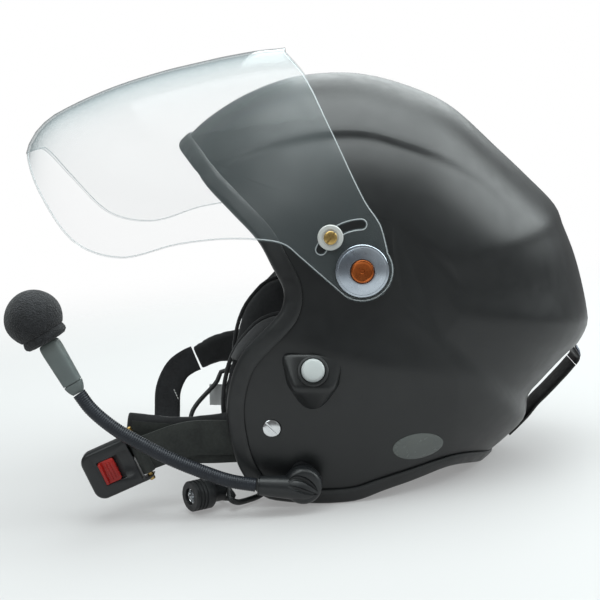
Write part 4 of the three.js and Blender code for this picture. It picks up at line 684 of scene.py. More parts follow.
shellShape = {
    "roundness": 2.2, "earSwell": mm(7), "hollow": mm(4), "groove": mm(4), "creaseRamp": 0.018,
    "creaseFade": 0.15, "swellUp": 0.070, "swellDown": 0.240, "hollowBand": 0.065,
    "outline": [
        (-0.455, 0.290), (-0.399, 0.344), (-0.309, 0.401), (-0.201, 0.443), (-0.094, 0.457),
        (0.004, 0.450), (0.116, 0.417), (0.204, 0.371), (0.306, 0.280), (0.383, 0.209),
        (0.450, 0.142), (0.472, 0.093), (0.500, 0.027), (0.522, -0.044), (0.538, -0.117),
        (0.539, -0.153), (0.517, -0.198), (0.488, -0.225), (0.427, -0.293), (0.398, -0.330),
        (0.389, -0.388), (0.339, -0.442), (0.290, -0.484), (0.250, -0.519), (0.180, -0.580),
        (0.080, -0.700), (-0.080, -0.830), (-0.370, -0.831), (-0.674, -0.585), (-0.780, -0.279),
        (-0.735, -0.030), (-0.640, 0.100), (-0.560, 0.184), (-0.505, 0.240),
    ],
    "crease": [
        (-0.417, 0.244), (-0.319, 0.277), (-0.232, 0.307), (-0.117, 0.331), (-0.024, 0.332),
        (0.059, 0.311), (0.159, 0.274), (0.258, 0.212), (0.326, 0.142),
    ],
    "crest": ((-0.080, -0.167), (0.288, -0.278)), "hollowLine": ((0.150, -0.010), (0.480, -0.030)),
    "fan": (0.035, 0.139), "crownColumns": 110, "edgeColumns": 130, "rows": 46,
    "screwHole": mm(6.4), "screwShank": mm(3.1), "shankFrom": mm(94), "pivotHole": mm(3.3),
    "pivotFrom": mm(100), "drillTo": mm(158),
}
outlinePoints = [spot(p) for p in shellShape["outline"]]
reachTable = sorted((math.atan2(p.z, -p.y), math.hypot(p.y, p.z))
                    for p in splinePoints(outlinePoints, 40, closed=True, centripetal=False))
reachTurns = [entry[0] for entry in reachTable]
crownLine = splinePoints(outlinePoints[:23], 40, centripetal=False)  # from the brow over the crown to the nape
creaseLine = splinePoints([spot(p) for p in shellShape["crease"]], 20)
creaseBacks = [p.y for p in creaseLine]
crestFront, crestRear = [spot(p) for p in shellShape["crest"]]
hollowFront, hollowRear = [spot(p) for p in shellShape["hollowLine"]]
cheekFront = spot((-0.323, 0)).y
napeBack = spot((0.427, 0)).y


def outlineReach(turn):
    turn = math.atan2(math.sin(turn), math.cos(turn))
    high = bisect.bisect_left(reachTurns, turn) % len(reachTable)
    low = high - 1
    span = (reachTable[high][0] - reachTable[low][0]) % (2 * math.pi)
    share = ((turn - reachTable[low][0]) % (2 * math.pi)) / span if span else 0
    return reachTable[low][1] + (reachTable[high][1] - reachTable[low][1]) * share


def creaseHeight(back):
    if back <= creaseBacks[0]:
        return creaseLine[0].z
    if back >= creaseBacks[-1]:
        return creaseLine[-1].z
    high = bisect.bisect_left(creaseBacks, back)
    a, b = creaseLine[high - 1], creaseLine[high]
    return a.z + (b.z - a.z) * (back - a.y) / (b.y - a.y)


def lineHeight(front, rear, back):
    return front.z + (rear.z - front.z) * (back - front.y) / (rear.y - front.y)


def shellWidth(back, up):
    # Half the shell's width before it rounds over: swollen at the ears, hollow above them.
    size = layout["length"]
    below = (creaseHeight(back) - up) / size
    groove = 0.0
    if below > 0:
        ramp = clamp(below / shellShape["creaseRamp"])
        fade = clamp(1 - (below - shellShape["creaseRamp"]) / shellShape["creaseFade"])
        run = clamp((creaseBacks[-1] - back) / (creaseBacks[-1] - creaseBacks[0]))
        groove = shellShape["groove"] * ramp * fade * fade * math.sqrt(run)
    above = (up - lineHeight(crestFront, crestRear, back)) / size
    reach = shellShape["swellUp"] if above > 0 else shellShape["swellDown"]
    ahead = clamp((back - cheekFront) / (crestFront.y - cheekFront))
    behind = clamp((napeBack - back) / (size * shellShape["swellDown"]))
    swell = shellShape["earSwell"] * math.exp(-((above / reach) ** 2)) * ahead * behind
    off = (up - lineHeight(hollowFront, hollowRear, back)) / size
    run = clamp((back - crestFront.y) / (hollowRear.y - hollowFront.y))
    hollow = shellShape["hollow"] * math.exp(-((off / shellShape["hollowBand"]) ** 2)) * run
    return layout["halfWidth"] + swell - groove - hollow


def outlineShare(back, up):
    return math.hypot(back, up) / outlineReach(math.atan2(up, -back))


def lateral(back, up):
    share = min(1.0, outlineShare(back, up))
    power = shellShape["roundness"]
    return (1 - share ** power) ** (1 / power) * shellWidth(back, up)


def shellNormal(point):
    step, power = layout["length"] / 600, shellShape["roundness"]

    def level(back, up):
        return (abs(point.x) / shellWidth(back, up)) ** power + outlineShare(back, up) ** power
    wide = shellWidth(point.y, point.z)
    across = (power / wide) * (abs(point.x) / wide) ** (power - 1)
    back = (level(point.y + step, point.z) - level(point.y - step, point.z)) / (2 * step)
    up = (level(point.y, point.z + step) - level(point.y, point.z - step)) / (2 * step)
    return Vector((math.copysign(across, point.x) if point.x else 0, back, up)).normalized()


def edgeInSpace(count):
    fine = [Vector((lateral(p.y, p.z), p.y, p.z)) for p in evenly(edgeCurve, 600)]
    fine[0].x = fine[-1].x = 0
    points = evenly(fine, count)
    points[0].x = points[-1].x = 0
    return points


fanPlace = spot(shellShape["fan"])


def alongTo(end, wanted):
    low, high = 0.0, 1.0
    for _ in range(22):
        middle = (low + high) / 2
        place = fanPlace.lerp(end, middle)
        if outlineShare(place.y, place.z) < wanted:
            low = middle
        else:
            high = middle
    return high


def sweepOf(share):
    return math.asin(min(1.0, share) ** (shellShape["roundness"] / 2))


def shareOf(sweep):
    return math.sin(sweep) ** (2 / shellShape["roundness"])


def alongToCrease(end):
    along = 0.2
    while along < 0.98:
        place = fanPlace.lerp(end, along)
        if place.z > creaseHeight(place.y):
            return along
        along += 0.004
    return None


def columnPlaces(end, onMiddle):
    # Places on the outer face from the fan point out to the boundary, crowding where it rounds over.
    rows = shellShape["rows"]
    reached = 1.0 if onMiddle else outlineShare(end.y, end.z)
    start = sweepOf(outlineShare(fanPlace.y, fanPlace.z))
    finish = sweepOf(reached)
    turning = clamp((reached - 0.6) / 0.35)
    plain = []
    for row in range(rows + 1):
        even = row / rows
        swept = alongTo(end, shareOf(start + (finish - start) * even)) if turning and 0 < row < rows else even
        plain.append(even * (1 - turning) + swept * turning)
    last = creaseLine[-1]
    crease = alongToCrease(end) if end.z > fanPlace.z and end.y < last.y + layout["wall"] else None
    if crease:
        reach = (Vector((0, end.y, end.z)) - fanPlace).length
        foot = crease - shellShape["creaseRamp"] * layout["length"] / reach
        below = rows // 2
        rampRows = 4
        top = fanPlace.lerp(end, crease)
        fromSweep = sweepOf(outlineShare(top.y, top.z))
        creased = [foot * row / below for row in range(below + 1)]
        creased += [foot + (crease - foot) * row / rampRows for row in range(1, rampRows + 1)]
        left = rows - below - rampRows
        for row in range(1, left + 1):
            sweep = fromSweep + (finish - fromSweep) * row / left
            creased.append(1.0 if row == left else alongTo(end, shareOf(sweep)))
        weight = clamp((last.y - end.y) / (layout["length"] * shellShape["creaseFade"]))
        weight *= clamp((1 - crease) / shellShape["creaseFade"])
        plain = [a + (b - a) * weight for a, b in zip(plain, creased)]
    places = []
    for row, along in enumerate(plain):
        place = fanPlace.lerp(Vector((0, end.y, end.z)), along)
        closing = row == rows and onMiddle
        places.append(Vector((0 if closing else lateral(place.y, place.z), place.y, place.z)))
    return places


edgeHalf = edgeInSpace(shellShape["edgeColumns"])


def shellColumns():
    columns = [(end, True) for end in evenly(crownLine, shellShape["crownColumns"])]
    columns += [(Vector((0, p.y, p.z)), False) for p in reversed(edgeHalf[1:-1])]
    return columns


def shellSkin():
    columns = shellColumns()
    grid = [columnPlaces(end, onMiddle) for end, onMiddle in columns]
    normals = [[shellNormal(p) for p in places] for places in grid]
    rows, points, faces = shellShape["rows"], [], []
    for side in (1, -1):
        layers = []
        for depth in (0, layout["wall"]):
            layer = []
            for places, outs in zip(grid, normals):
                run = []
                for place, out in zip(places, outs):
                    deep = place - out * depth
                    points.append(Vector((side * deep.x, deep.y, deep.z)))
                    run.append(len(points) - 1)
                layer.append(run)
            layers.append(layer)
        outer, inner = layers
        for i in range(len(grid)):
            n = (i + 1) % len(grid)
            for j in range(rows):
                faces.append((outer[i][j], outer[n][j], outer[n][j + 1], outer[i][j + 1]))
                faces.append((inner[i][j + 1], inner[n][j + 1], inner[n][j], inner[i][j]))
            if not (columns[i][1] and columns[n][1]):
                faces.append((outer[i][rows], outer[n][rows], inner[n][rows], inner[i][rows]))
    return meshPiece("shellSkin", points, faces, clean=False)


def drillPiece(radius, middle, low, high, steps=40):
    return aimed(rod("drill", radius, low, high, steps), Vector((0, middle.y, middle.z)), axisX)


screwPlace = spot((-0.234, -0.332))
buttonSpot = spot((-0.142, -0.187))
boss = {"face": mm(24), "topWidth": mm(43), "ridgeWidth": mm(26), "drop": mm(42), "root": mm(2), "tilt": 25,
        "round": mm(3.2), "tipWidth": mm(13), "tipRise": mm(4), "voxel": mm(1.1), "softening": 24,
        "bore": mm(7.8)}
bossTilt = math.radians(boss["tilt"])
buttonAxis = Vector((math.cos(bossTilt), 0, math.sin(bossTilt)))
bossTop = buttonSpot.z + boss["face"] / 2 * math.cos(bossTilt)
bossFoot = lateral(buttonSpot.y, bossTop)
ridgeHeight = bossTop - boss["face"] * math.cos(bossTilt)
ridgeSide = bossFoot + boss["face"] * math.sin(bossTilt)
bossMiddle = Vector(((bossFoot + ridgeSide) / 2, buttonSpot.y, buttonSpot.z))


def bossPiece():
    # A wedge with a sloping face for the button, running down to a rounded tip, with soft edges.
    corners = []
    for end in (-1, 1):
        topBack = buttonSpot.y + end * boss["topWidth"] / 2
        ridgeBack = buttonSpot.y + end * boss["ridgeWidth"] / 2
        corners.append((bossFoot - boss["root"], topBack, bossTop))
        corners.append((bossFoot, ridgeBack, bossTop))
        corners.append((ridgeSide, ridgeBack, ridgeHeight))
        corners.append((lateral(topBack, ridgeHeight) - boss["root"], topBack - end * boss["root"] * 2,
                        ridgeHeight))
    tip = bossTop - boss["drop"]
    for back, up in ((0, tip), (-boss["tipWidth"] / 2, tip + boss["tipRise"]),
                     (boss["tipWidth"] / 2, tip + boss["tipRise"])):
        corners.append((lateral(buttonSpot.y + back, up) - boss["root"], buttonSpot.y + back, up))
    made = meshPiece("buttonBoss", corners, [], clean=False)
    editAll(made)
    bpy.ops.mesh.convex_hull()
    editDone()
    rounded(made, boss["round"], 5, 12)
    remesh = made.modifiers.new("evenFaces", "REMESH")
    remesh.mode, remesh.voxel_size = "VOXEL", boss["voxel"]
    soften = made.modifiers.new("softEdges", "SMOOTH")
    soften.factor, soften.iterations = 0.5, boss["softening"]
    return applyModifiers(made)


def flatUnder(place, radius):
    around = ((0, 0), (radius, 0), (-radius, 0), (0, radius), (0, -radius))
    return min(lateral(place.y + back, place.z + up) for back, up in around)


screwFace = flatUnder(screwPlace, mm(5.9)) - mm(0.5)


def makeShell():
    made = shellSkin()
    tidy(made, 2e-6)
    for side in (1, -1):
        holes = [(shellShape["screwHole"], screwPlace, screwFace),
                 (shellShape["screwShank"], screwPlace, shellShape["shankFrom"]),
                 (shellShape["pivotHole"], pivotPlace, shellShape["pivotFrom"])]
        for radius, place, low in holes:
            carved(made, drillPiece(radius, place, *sorted((side * low, side * shellShape["drillTo"]))))
    finished(made, 50, "shellPaint", "helmet", "shell")
    raised = bossPiece()
    carved(raised, aimed(rod("drill", boss["bore"], -mm(20), mm(40), 48), bossMiddle, buttonAxis))
    finished(raised, 30, "shellPaint", "helmet")
    return made


shellPiece = makeShell()
print("shell ready", len(shellPiece.data.polygons))

trim = {"lip": mm(1.6), "depth": mm(8), "nose": mm(4.2), "fit": mm(1.4), "outerFit": mm(0.6)}


def makeTrim():
    # One slotted section carried round the whole opening, with a rounded nose.
    wall, lip, depth, nose = layout["wall"], trim["lip"], trim["depth"], trim["nose"]
    top, low = trim["outerFit"], -wall - trim["fit"]
    half = (top + lip - (low - lip)) / 2
    centre = top + lip - half
    section = [(-depth, top), (-depth, top + lip * 0.5), (-depth * 0.9, top + lip * 0.9),
               (-depth * 0.6, top + lip)]
    for step in range(13):
        turn = math.pi / 2 - math.pi * step / 12
        section.append((nose * 0.1 + nose * 0.9 * math.cos(turn), centre + half * math.sin(turn)))
    section += [(-depth * 0.6, low - lip), (-depth * 0.9, low - lip * 0.9), (-depth, low - lip * 0.5),
                (-depth, low), (mm(0.3), low), (mm(0.3), top)]
    count = len(edgeHalf) - 1
    bend = 2 * layout["halfWidth"]
    rings = []
    for i, point in enumerate(edgeHalf):
        if i in (0, count):
            along = Vector((1 if i == 0 else -1, 0, 0))
        else:
            along = (edgeHalf[i + 1] - edgeHalf[i - 1]).normalized()
        outward = shellNormal(point)
        outward = (outward - along * outward.dot(along)).normalized()
        ahead = along.cross(outward).normalized()
        rings.append([point + ahead * reach + outward * (lift - (reach * reach / bend if reach < 0 else 0))
                      for reach, lift in section])
    right = [otherSide(ring) for ring in reversed(rings[1:-1])]
    made = seated(skin("edgeTrim", rings + right, loop=True))
    editAll(made)
    bpy.ops.mesh.bisect(plane_co=(0, 0, 0.00002), plane_no=(0, 0, -1), use_fill=True, clear_outer=True)
    editDone()
    smoothed(made, 45)
    return dressed(made, "trimRubber", "helmet", "edge_trim")


makeTrim()
print("trim ready")

# visor, its pivots and stops

visor = {
    "thickness": mm(2), "half": mm(120), "spread": 2.6, "flatness": 2.4, "arm": mm(20), "flatShare": 0.1,
    "through": mm(160), "hole": mm(3.4), "slotRadius": mm(29.2), "slotHalf": mm(2.7), "slotFrom": 91.3,
    "slotTo": 152.8, "stop": 133.5,
    "profile": [(110, 0.500), (89, 0.495), (78, 0.497), (70, 0.503), (58, 0.541), (49, 0.581), (40, 0.641),
                (33, 0.701), (26.8, 0.760), (21, 0.822), (17, 0.826), (9, 0.822), (0, 0.790), (-12, 0.720),
                (-40, 0.560), (-90, 0.450), (-140, 0.420), (-180, 0.420), (-220, 0.450)],
    "rear": [(-0.172, 0.472), (-0.125, 0.419), (-0.070, 0.311), (0.007, 0.152), (0.040, 0.102), (0.058, 0.040)],
    "front": [(-0.132, 0.024), (-0.172, 0.056), (-0.231, 0.066), (-0.307, 0.066), (-0.406, 0.052),
              (-0.538, 0.017), (-0.646, 0.044), (-0.736, 0.149), (-0.785, 0.232)],
    "overrun": [(-0.95, 0.232), (-0.95, 0.80), (-0.172, 0.80)],
}
profileTable = sorted((degrees % 360, reach) for degrees, reach in visor["profile"])
profileTurns = [entry[0] for entry in profileTable]


def profileReach(degrees):
    turn = degrees % 360
    high = bisect.bisect_left(profileTurns, turn) % len(profileTable)
    before, after = profileTable[high - 1], profileTable[high]
    span = (after[0] - before[0]) % 360 or 360
    share = ((turn - before[0]) % 360) / span
    return (before[1] + (after[1] - before[1]) * share) * layout["length"]


def visorReach(degrees):
    # The profile with its corners eased.
    return sum(profileReach(degrees + step) for step in (-3, -1.5, 0, 1.5, 3)) / 5


def visorDome(name, grow):
    turns = [-26 + 2.0 * i for i in range(65)] + [112 + 12 * i for i in range(18)]
    half = visor["half"] + grow
    stations = [(0.0, half), (visor["flatShare"], half)]
    sweeps = 44
    for i in range(1, sweeps):
        sweep = math.pi * i / sweeps
        flat = abs(math.cos(sweep)) ** (2 / visor["flatness"])
        stations.append((math.sin(sweep) ** (2 / visor["spread"]), math.copysign(half * flat, math.cos(sweep))))
    stations += [(visor["flatShare"], -half), (0.0, -half)]
    rings = []
    for share, side in stations:
        ring = []
        for degrees in turns:
            reach = share * (visorReach(degrees) + grow)
            turn = math.radians(degrees)
            ring.append(Vector((side, pivotPlace.y - reach * math.cos(turn),
                                pivotPlace.z + reach * math.sin(turn))))
        rings.append(ring)
    return skin(name, rings)


def arcPoints(middle, radius, start, finish, steps):
    return [(middle[0] + radius * math.cos(start + (finish - start) * i / steps),
             middle[1] + radius * math.sin(start + (finish - start) * i / steps)) for i in range(steps + 1)]


def sidePlate(name, outline):
    # A plate drawn in the side view, (back, up), and cut right through.
    count = len(outline)
    points = [(side, back, up) for side in (-visor["through"], visor["through"]) for back, up in outline]
    faces = [tuple(range(count)), tuple(reversed(range(count, 2 * count)))]
    faces += [(i, (i + 1) % count, count + (i + 1) % count, count + i) for i in range(count)]
    return meshPiece(name, points, faces)


def visorOutline():
    size = layout["length"]

    def at(shares):
        return Vector((0, pivotPlace.y + shares[0] * size, pivotPlace.z + shares[1] * size))
    rear = splinePoints([at(p) for p in visor["rear"]], 10)
    front = splinePoints([at(p) for p in visor["front"]], 10)
    start = math.atan2(rear[-1].z - pivotPlace.z, rear[-1].y - pivotPlace.y)
    arc = arcPoints((pivotPlace.y, pivotPlace.z), visor["arm"], start, math.radians(-125), 30)
    outline = [(p.y, p.z) for p in rear[:-1]] + arc + [(p.y, p.z) for p in front]
    outline += [(at(p).y, at(p).z) for p in visor["overrun"]]
    return outline


def slotOutline():
    middle, r, half = (pivotPlace.y, pivotPlace.z), visor["slotRadius"], visor["slotHalf"]
    low, high = math.radians(visor["slotFrom"]), math.radians(visor["slotTo"])
    ends = [(middle[0] + r * math.cos(a), middle[1] + r * math.sin(a)) for a in (low, high)]
    outline = arcPoints(middle, r + half, low, high, 24)
    outline += arcPoints(ends[1], half, high, high + math.pi, 10)[1:]
    outline += arcPoints(middle, r - half, high, low, 24)[1:]
    outline += arcPoints(ends[0], half, low + math.pi, low + 2 * math.pi, 10)[1:-1]
    return outline


def makeVisor():
    made = visorDome("visorSheet", visor["thickness"])
    carved(made, visorDome("inside", 0))
    carved(made, sidePlate("outline", visorOutline()), way="INTERSECT")
    carved(made, sidePlate("slot", slotOutline()),
           drillPiece(visor["hole"], pivotPlace, -visor["through"], visor["through"]))
    return finished(tidy(made), 35, "clearVisor", "visor", "visor")


visorPiece = makeVisor()
print("visor ready", len(visorPiece.data.polygons))

# pivot discs, stops, screws and the button

hardware = {
    "discRadius": mm(16.8), "discThickness": mm(2.6), "capRadius": mm(7.3), "capHeight": mm(3.6),
    "shank": mm(3), "stopRadius": mm(8.1), "stopThickness": mm(1.5), "stopScrewRadius": mm(4.3),
    "stopScrewHeight": mm(2), "slotWidth": mm(1.1), "slotDepth": mm(0.8), "outer": mm(122.3),
    "strapScrewRadius": mm(5.9), "strapScrewHeight": mm(2.2), "ringRadius": mm(10), "ringHeight": mm(2),
    "buttonRadius": mm(7.4), "buttonHeight": mm(5.4),
    "strapShank": {"left": (0.8396, mm(1.2), mm(2.7)), "right": (0.8249, mm(3), mm(6.3))},
}
stopTurn = math.radians(visor["stop"])
stopPlace = Vector((0, pivotPlace.y + visor["slotRadius"] * math.cos(stopTurn),
                    pivotPlace.z + visor["slotRadius"] * math.sin(stopTurn)))


def onSide(obj, reach, place, side):
    # Lays a piece made about +Z against the left or right of the helmet.
    return aimed(obj, Vector((side * reach, place.y, place.z)), Vector((side, 0, 0)))


def outsidePiece(name, profile, steps, place, side, look, replaced):
    made = onSide(turnedPiece(name, profile, steps), hardware["outer"], place, side)
    return finished(made, 30, look, "helmet", replaced)


def slotCut(obj, top, radius, turn):
    slot = boxPiece("slot", (hardware["slotWidth"], radius * 3, hardware["slotDepth"] * 2), (0, 0, top))
    slot.data.transform(Matrix.Rotation(turn, 4, "Z"))
    return carved(obj, slot)


def domeProfile(radius, rim, height, depth, shank):
    # A screw: shank, flat underside, rim and a domed head.
    profile = [(0, -depth), (shank, -depth), (shank, 0), (radius - rim * 0.2, 0), (radius, rim * 0.2),
               (radius, rim * 0.8)]
    for step in range(1, 9):
        turn = math.pi / 2 * step / 8
        profile.append((radius * math.cos(turn) if step < 8 else 0,
                        rim * 0.8 + (height - rim * 0.8) * math.sin(turn)))
    return profile


nutFrom = lateral(pivotPlace.y, pivotPlace.z) - layout["wall"] - mm(0.6) - mm(2.4)
shankDepth = hardware["outer"] - nutFrom
for word, side in (("left", 1), ("right", -1)):
    r, t, cap = hardware["discRadius"], hardware["discThickness"], hardware["capRadius"]
    rings = [(cap + mm(0.3), 0), (r - mm(0.5), 0), (r, mm(0.5)), (r, mm(1.2)), (r - mm(0.3), mm(1.5))]
    rings += [(r - mm(1.4), mm(1.75)), (r - mm(1.7), mm(1.65)), (r - mm(2.1), mm(1.85))]
    rings += [(cap + mm(2.0), t - mm(0.1)), (cap + mm(1.6), t), (cap + mm(0.6), t),
              (cap + mm(0.3), t - mm(0.3)), (cap + mm(0.3), 0)]
    outsidePiece("visorDisc" + word.title(), rings, 96, pivotPlace, side,
                 "turnedDisc", "visor_disc_" + word)
    high = hardware["capHeight"]
    profile = [(0, -shankDepth), (hardware["shank"], -shankDepth), (hardware["shank"], 0), (cap - mm(0.3), 0),
               (cap, mm(0.3)), (cap, high - mm(0.9)), (cap - mm(0.35), high - mm(0.3)), (cap - mm(1.1), high),
               (cap - mm(1.6), high - mm(0.25)), (cap - mm(2.2), high - mm(0.3)), (mm(1.4), high - mm(0.35)),
               (mm(1.1), high - mm(0.7)), (0, high - mm(0.8))]
    outsidePiece("pivotScrew" + word.title(), profile, 64, pivotPlace, side,
                 "bronze", "pivot_screw_" + word)
    w, high = hardware["stopRadius"], hardware["stopThickness"]
    profile = [(mm(2.6), 0), (w - mm(0.3), 0), (w, mm(0.3)), (w, high - mm(0.5)), (w - mm(0.5), high),
               (mm(5.4), high), (mm(5.0), high - mm(0.4)), (mm(2.6), high - mm(0.4)), (mm(2.6), 0)]
    outsidePiece("stopWasher" + word.title(), profile, 64, stopPlace, side,
                 "nylon", "stop_washer_" + word)
    profile = domeProfile(hardware["stopScrewRadius"], mm(1.3), hardware["stopScrewHeight"],
                          shankDepth - mm(2.4), mm(2.2))
    stop = slotCut(turnedPiece("stopScrew" + word.title(), profile, 48), hardware["stopScrewHeight"],
                   hardware["stopScrewRadius"], 0.95)
    finished(onSide(stop, hardware["outer"] + hardware["stopThickness"] + mm(0.3), stopPlace, side), 30,
             "brass", "helmet", "stop_screw_" + word)
    strapShare, halfStrap, past = hardware["strapShank"][word]
    reach = screwFace + mm(0.3) - (strapShare * layout["halfWidth"] + halfStrap) + past
    profile = domeProfile(hardware["strapScrewRadius"], mm(1.4), hardware["strapScrewHeight"], reach, mm(2.6))
    screw = slotCut(turnedPiece("strapScrew" + word.title(), profile, 56), hardware["strapScrewHeight"],
                    hardware["strapScrewRadius"], -0.75)
    finished(onSide(screw, screwFace + mm(0.3), screwPlace, side), 30, "chrome", "helmet",
             "strap_screw_" + word)


def makeButton():
    inner, outer = hardware["buttonRadius"] + mm(0.4), hardware["ringRadius"]
    low, high = mm(0.3), mm(0.3) + hardware["ringHeight"]
    profile = [(inner, low), (outer, low), (outer, high - mm(0.8)), (outer - mm(0.3), high - mm(0.25)),
               (outer - mm(0.8), high), (inner + mm(0.4), high), (inner, high - mm(0.4)), (inner, low)]
    finished(aimed(turnedPiece("buttonRing", profile, 64), bossMiddle, buttonAxis), 40, "trimRubber", "helmet",
             "button_ring")
    r, top = hardware["buttonRadius"], hardware["buttonHeight"]
    profile = [(0, -mm(0.8)), (mm(3), -mm(0.8)), (mm(3), mm(0.2)), (r, mm(0.2)), (r, top - mm(1.5)),
               (r - mm(0.25), top - mm(0.8)), (r - mm(0.9), top - mm(0.2)), (r - mm(1.7), top),
               (r * 0.5, top + mm(0.28)), (0, top + mm(0.4))]
    finished(aimed(turnedPiece("talkButton", profile, 64), bossMiddle, buttonAxis), 35, "buttonGrey", "button",
             "talk_button")


makeButton()
print("hardware ready")

# blank badge on the side of the shell

badge = {"place": (0.100, -0.383), "half": (mm(17.2), mm(9.8)), "stand": mm(0.15), "thickness": mm(0.5),
         "steps": 64, "rings": 7}


def makeBadge():
    middle, (wide, tall) = spot(badge["place"]), badge["half"]
    layers = []
    for stand in (badge["stand"] - badge["thickness"], badge["stand"] + badge["thickness"] * 0.6):
        layers.append([])
        for ring in range(badge["rings"], 0, -1):
            share = ring / badge["rings"]
            rim = mm(0.25) if ring == badge["rings"] and stand > 0 else 0
            run = []
            for step in range(badge["steps"]):
                turn = 2 * math.pi * step / badge["steps"]
                back, up = middle.y + wide * share * math.cos(turn), middle.z + tall * share * math.sin(turn)
                flat = Vector((lateral(back, up), back, up))
                run.append(flat + shellNormal(flat) * (stand - rim))
            layers[-1].append(run)
    made = skin("blankBadge", list(reversed(layers[0])) + layers[1])
    return finished(made, 35, "badgePlate", "helmet")


makeBadge()

# straps: flat ribbons with rounded edges, and their stitching


def ribbonPiece(name, shares, widthFrom, widthTo, thickness, steps, across, start=0.0, end=1.0, crown=0.0,
                corner=0.5):
    line = splinePoints([spot(p) for p in shares], 40)
    run = runLengths(line)
    flat = across.copy()
    rings, frames = [], []
    for i in range(steps + 1):
        share = start + (end - start) * i / steps
        middle = alongLine(line, run, share)
        along = heading(line, run, share, 0.004)
        flat = (flat - along * flat.dot(along)).normalized()
        wide = along.cross(flat)
        half = (widthFrom + (widthTo - widthFrom) * i / steps) / 2
        deep = thickness / 2
        ring = []
        for sign, order in ((1, range(9)), (-1, range(8, -1, -1))):
            for j in order:
                w = -1 + 2 * j / 8
                soft = deep * (1 - corner * abs(w) ** 6) + crown * (1 - w * w)
                ring.append(middle + wide * (half * w) + flat * (sign * soft))
        rings.append(ring)
        frames.append((middle, flat, wide, half, deep))
    return skin(name, rings), frames


def stitchRun(name, places, look, body, size=(mm(2.2), mm(0.55), mm(0.4))):
    # Short threads, each a small faceted grain: (middle, along, out).
    pieces, faces = [], []
    for middle, along, out in places:
        wide = along.cross(out).normalized()
        base = len(pieces)
        for share, grow in ((-1, 0.35), (-0.55, 1), (0.55, 1), (1, 0.35)):
            for step in range(6):
                turn = 2 * math.pi * step / 6
                pieces.append(middle + along * (share * size[0] / 2)
                              + wide * (math.cos(turn) * size[1] / 2 * grow)
                              + out * (math.sin(turn) * size[2] / 2 * grow))
        for ring in range(3):
            for step in range(6):
                a, b = base + ring * 6 + step, base + ring * 6 + (step + 1) % 6
                faces.append((a, b, b + 6, a + 6))
        faces.append(tuple(base + i for i in reversed(range(6))))
        faces.append(tuple(base + 18 + i for i in range(6)))
    made = meshPiece(name, pieces, faces)
    return finished(made, 60, look, body)


def edgeStitches(frames, inset, pitch, side, sign):
    # Places for the threads of one row, near the ribbon's edge on one of its faces.
    places = []
    spots = [middle + wide * (sign * (half - inset)) + flat * side * (deep * 0.98)
             for middle, flat, wide, half, deep in frames]
    run = runLengths(spots)
    first, last = 0.05, 0.95
    count = int(run[-1] * (last - first) / pitch)
    for i in range(count):
        share = first + (last - first) * (i + 0.5) / count
        middle = alongLine(spots, run, share)
        along = heading(spots, run, share, 0.01)
        frameAt = frames[min(len(frames) - 1, int(share * (len(frames) - 1)))]
        places.append((middle, along, (frameAt[1] * side).normalized()))
    return places


straps = {
    "width": mm(24), "thickness": mm(2.4), "padWidth": mm(42), "padThickness": mm(6),
    "left": [(-0.205, -0.352, 0.8396), (-0.270, -0.365, 0.7859), (-0.330, -0.372, 0.7615),
             (-0.430, -0.376, 0.7615), (-0.529, -0.4075, 0.7835)],
    "leftPad": [(-0.205, -0.350, 0.8005), (-0.270, -0.366, 0.7468), (-0.330, -0.376, 0.7224),
                (-0.430, -0.382, 0.7127), (-0.575, -0.368, 0.6932)],
    "rightPad": [(-0.205, -0.340, -0.8249), (-0.313, -0.290, -0.7664), (-0.393, -0.292, -0.7493),
                 (-0.452, -0.316, -0.7224)],
    "webbing": [(-0.4550, -0.3173, -0.721), (-0.4735, -0.3250, -0.7139), (-0.505, -0.348, -0.7029),
                (-0.530, -0.400, -0.6932), (-0.534, -0.460, -0.6785), (-0.534, -0.530, -0.6395),
                (-0.534, -0.5385, -0.5614)],
    "retainer": [(0.507, -0.216), (0.522, -0.241), (0.503, -0.270), (0.474, -0.304), (0.446, -0.335),
                 (0.422, -0.360), (0.401, -0.388), (0.372, -0.420), (0.354, -0.438)],
    "retainerWidth": mm(30), "retainerThickness": mm(2.5), "fold": 0.17, "stud": 0.86,
    "holeRadius": mm(3), "holeReach": mm(118),
    "capProfile": [(0, 0), (5, 0), (5, 0.5), (4.7, 1.0), (4.2, 1.35), (3.4, 1.45), (3.1, 1.25), (2.6, 1.3),
                   (2.0, 1.75),
                   (1.1, 1.95), (0, 2)],  # mm
    "pressure": 3.0, "voxel": 0.0022, "cap": mm(0.6), "tack": ((173.8, 388.9), (178.6, 399.4)),
    "panelDrop": 0.008, "panelStand": 0.0235,
}


stuffing = {"quality": 4, "frames": 20}


def puffed(obj, voxel, pressure, cap):
    # Swells a closed pad like stuffed cloth, and keeps each point within reach of where it began.
    pick(obj)
    obj.data.remesh_voxel_size = voxel
    bpy.ops.object.voxel_remesh()
    before = [v.co.copy() for v in obj.data.vertices]
    cloth = obj.modifiers.new("stuffing", "CLOTH")
    cloth.settings.use_pressure = True
    cloth.settings.uniform_pressure_force = pressure
    cloth.settings.effector_weights.gravity = 0
    cloth.settings.quality = stuffing["quality"]
    cloth.point_cache.frame_start, cloth.point_cache.frame_end = 1, stuffing["frames"]
    for frameNumber in range(1, stuffing["frames"] + 1):
        bpy.context.scene.frame_set(frameNumber)
    pick(obj)
    bpy.ops.object.modifier_apply(modifier=cloth.name)
    bpy.context.scene.frame_set(1)
    for vertex, start in zip(obj.data.vertices, before):
        move = vertex.co - start
        if move.length > cap:
            vertex.co = start + move.normalized() * cap
    return subdivided(obj, 1)


def pierced(obj):
    # The hole for the strap's screw.
    reach = straps["holeReach"]
    return carved(obj, drillPiece(straps["holeRadius"], screwPlace, -reach, reach, 32))


